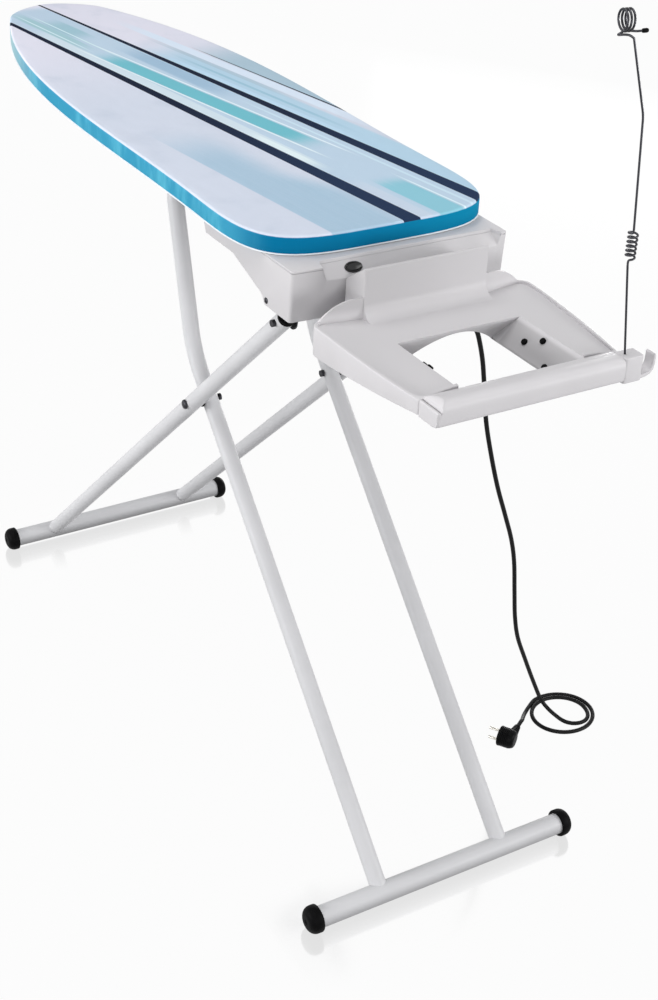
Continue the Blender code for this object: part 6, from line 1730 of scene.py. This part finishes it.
class TABLE_OT_cad_finishes(bpy.types.Operator):
    """Give every CAD piece its finish, those that other pieces stand for too"""

    bl_idname = "ironing_table.cad_finishes"
    bl_label = "Finishes of the frame's own pieces"

    def execute(self, context):
        for row in frame["record"]["subparts"]:
            node = frame["nodes"][row["node"]]
            node.data.materials.clear()
            node.data.materials.append(PAINTS[row["material_slot"]])
        return {"FINISHED"}


# ---- studio ----


def area_lamp(name, place, target, size, power):
    lamp = bpy.data.lights.new(name, "AREA")
    lamp.shape = "RECTANGLE"
    lamp.size, lamp.size_y = size
    lamp.energy = power
    holder = bpy.data.objects.new(name, lamp)
    holder.location = place
    holder.rotation_mode = "QUATERNION"
    holder.rotation_quaternion = (Vector(target) - Vector(place)).to_track_quat("-Z", "Y")
    bpy.context.scene.collection.objects.link(holder)


class TABLE_OT_studio(bpy.types.Operator):
    """Set up the pale floor, the soft lamps, the white surroundings and the camera"""

    bl_idname = "ironing_table.studio"
    bl_label = "Studio"

    def execute(self, context):
        scene = context.scene
        scene.view_settings.view_transform = "Standard"
        self.make_world(scene)
        self.make_floor()
        for lamp in LAMPS:
            area_lamp(*lamp)
        camera = bpy.data.cameras.new("photograph's view")
        camera.lens = CAMERA_LENS
        camera.sensor_width = 36
        camera.clip_start = 0.05
        camera.clip_end = 60
        holder = bpy.data.objects.new("photograph's view", camera)
        matrix = Matrix([list(axis) for axis in CAMERA_AXES]).transposed().to_4x4()
        matrix.translation = Vector(CAMERA_PLACE)
        holder.matrix_world = matrix
        scene.collection.objects.link(holder)
        scene.camera = holder
        return {"FINISHED"}

    def make_world(self, scene):
        """White to the camera and in reflections, and dimmer as light."""
        world = bpy.data.worlds.new("white surroundings")
        scene.world = world
        world.use_nodes = True
        web = Web(world.node_tree)
        web.tree.nodes.clear()
        seen = web.rays("Camera", "Transmission", "Glossy")
        tint = {"Color": (0.97, 0.98, 1.0, 1), "Strength": SURROUNDINGS}
        dim = web.node("ShaderNodeBackground", sockets=tint)
        bright = web.node("ShaderNodeBackground", sockets={"Color": WHITE, "Strength": 1.0})
        either = web.node("ShaderNodeMixShader", sockets={0: seen, 1: dim, 2: bright})
        web.feed(web.tree.nodes.new("ShaderNodeOutputWorld").inputs[0], either)

    def beside(self, foot, x, y):
        """The floor round a foot bar that is polished enough to mirror it."""
        away = x - foot.x
        across = away.between(-0.10, -0.03) * (1 - away.between(0.03, 0.12))
        return across * (1 - abs(y).between(0.235, 0.285))

    def make_floor(self):
        """White to the camera, with a mirror beside the foot bars, and grey as a light's bounce."""
        add = bpy.ops.mesh.primitive_plane_add
        floor = begin(add, "floor", size=24, location=(0, 0, -0.0004))
        paint = Paint("pale floor", Roughness=0.35)
        where = paint.place()
        x, y, _ = paint.axes(where)
        cloud = paint.noise(where, 3, 2)
        paint.shade(Base_Color=paint.mix(display(124, 124, 126), display(118, 118, 120), cloud))
        near = self.beside(OUTER_FOOT, x, y) + self.beside(INNER_FOOT, x, y)
        glow = paint.node("ShaderNodeEmission", sockets={"Color": WHITE, "Strength": 1.0})
        polish = {"Color": WHITE, "Roughness": 0.12}
        mirror = paint.node("ShaderNodeBsdfGlossy", sockets=polish)
        sockets = {0: near * FLOOR_MIRROR, 1: glow, 2: mirror}
        sheen = paint.node("ShaderNodeMixShader", sockets=sockets)
        seen = paint.rays("Camera", "Glossy") * FLOOR_GLOW
        grey = Value(paint, paint.shader.outputs[0])
        mix = paint.node("ShaderNodeMixShader", sockets={0: seen, 1: grey, 2: sheen})
        paint.feed(paint.tree.nodes["Material Output"].inputs[0], mix)
        floor.data.materials.append(paint.material)


# ---- add-on ----


def hue(name, description, *colour):
    return bpy.props.FloatVectorProperty(
        name=name,
        description=description,
        subtype="COLOR",
        size=3,
        min=0,
        max=1,
        default=display(*colour)[:3],
    )


class TableLooks(bpy.types.PropertyGroup):
    """Colours and sizes that can be changed before the pieces are made"""

    plastic: hue("Plastic", "Colour of the moulded white plastic", 201, 199, 201)
    paint: hue("Paint", "Colour of the powder coat on the legs", 209, 209, 211)
    band_side: hue("Side band", "Colour of the cover's band along its flanks", 60, 152, 186)
    band_end: hue("End band", "Colour of the cover's band at the wide end", 4, 116, 160)
    weave_pitch: bpy.props.FloatProperty(
        name="Weave pitch",
        description="Distance between threads of the cover's cloth",
        unit="LENGTH",
        min=0.0004,
        max=0.004,
        default=0.0011,
    )


STEPS = (
    TABLE_OT_studio,
    TABLE_OT_mains_cord,
    TABLE_OT_padding,
    TABLE_OT_cover,
    TABLE_OT_housing,
    TABLE_OT_switch,
    TABLE_OT_housing_fasteners,
    TABLE_OT_iron_rest,
    TABLE_OT_rail_and_hook,
    TABLE_OT_legs,
    TABLE_OT_pivots,
    TABLE_OT_release,
    TABLE_OT_cord_holder,
    TABLE_OT_cad_finishes,
)


class TABLE_PT_panel(bpy.types.Panel):
    """Sidebar panel with the colours, sizes and steps"""

    bl_idname = "TABLE_PT_panel"
    bl_label = "Ironing table"
    bl_space_type = "VIEW_3D"
    bl_region_type = "UI"
    bl_category = "Ironing table"

    def draw(self, context):
        looks = context.scene.table_looks
        for name in ("plastic", "paint", "band_side", "band_end", "weave_pitch"):
            self.layout.prop(looks, name)
        for step in STEPS:
            self.layout.operator(step.bl_idname)


CLASSES = (TableLooks, *STEPS, TABLE_PT_panel)


def register():
    for cls in CLASSES:
        bpy.utils.register_class(cls)
    bpy.types.Scene.table_looks = bpy.props.PointerProperty(type=TableLooks)


def unregister():
    del bpy.types.Scene.table_looks
    for cls in reversed(CLASSES):
        bpy.utils.unregister_class(cls)


def main():
    for obj in list(bpy.data.objects):
        if obj.name in ("Cube", "Light", "Camera"):
            bpy.data.objects.remove(obj, do_unlink=True)
    register()
    PAINTS.update(make_finishes(bpy.context.scene.table_looks))
    for step in STEPS:
        group, name = step.bl_idname.split(".")
        getattr(getattr(bpy.ops, group), name)()


if __name__ == "__main__":
    main()
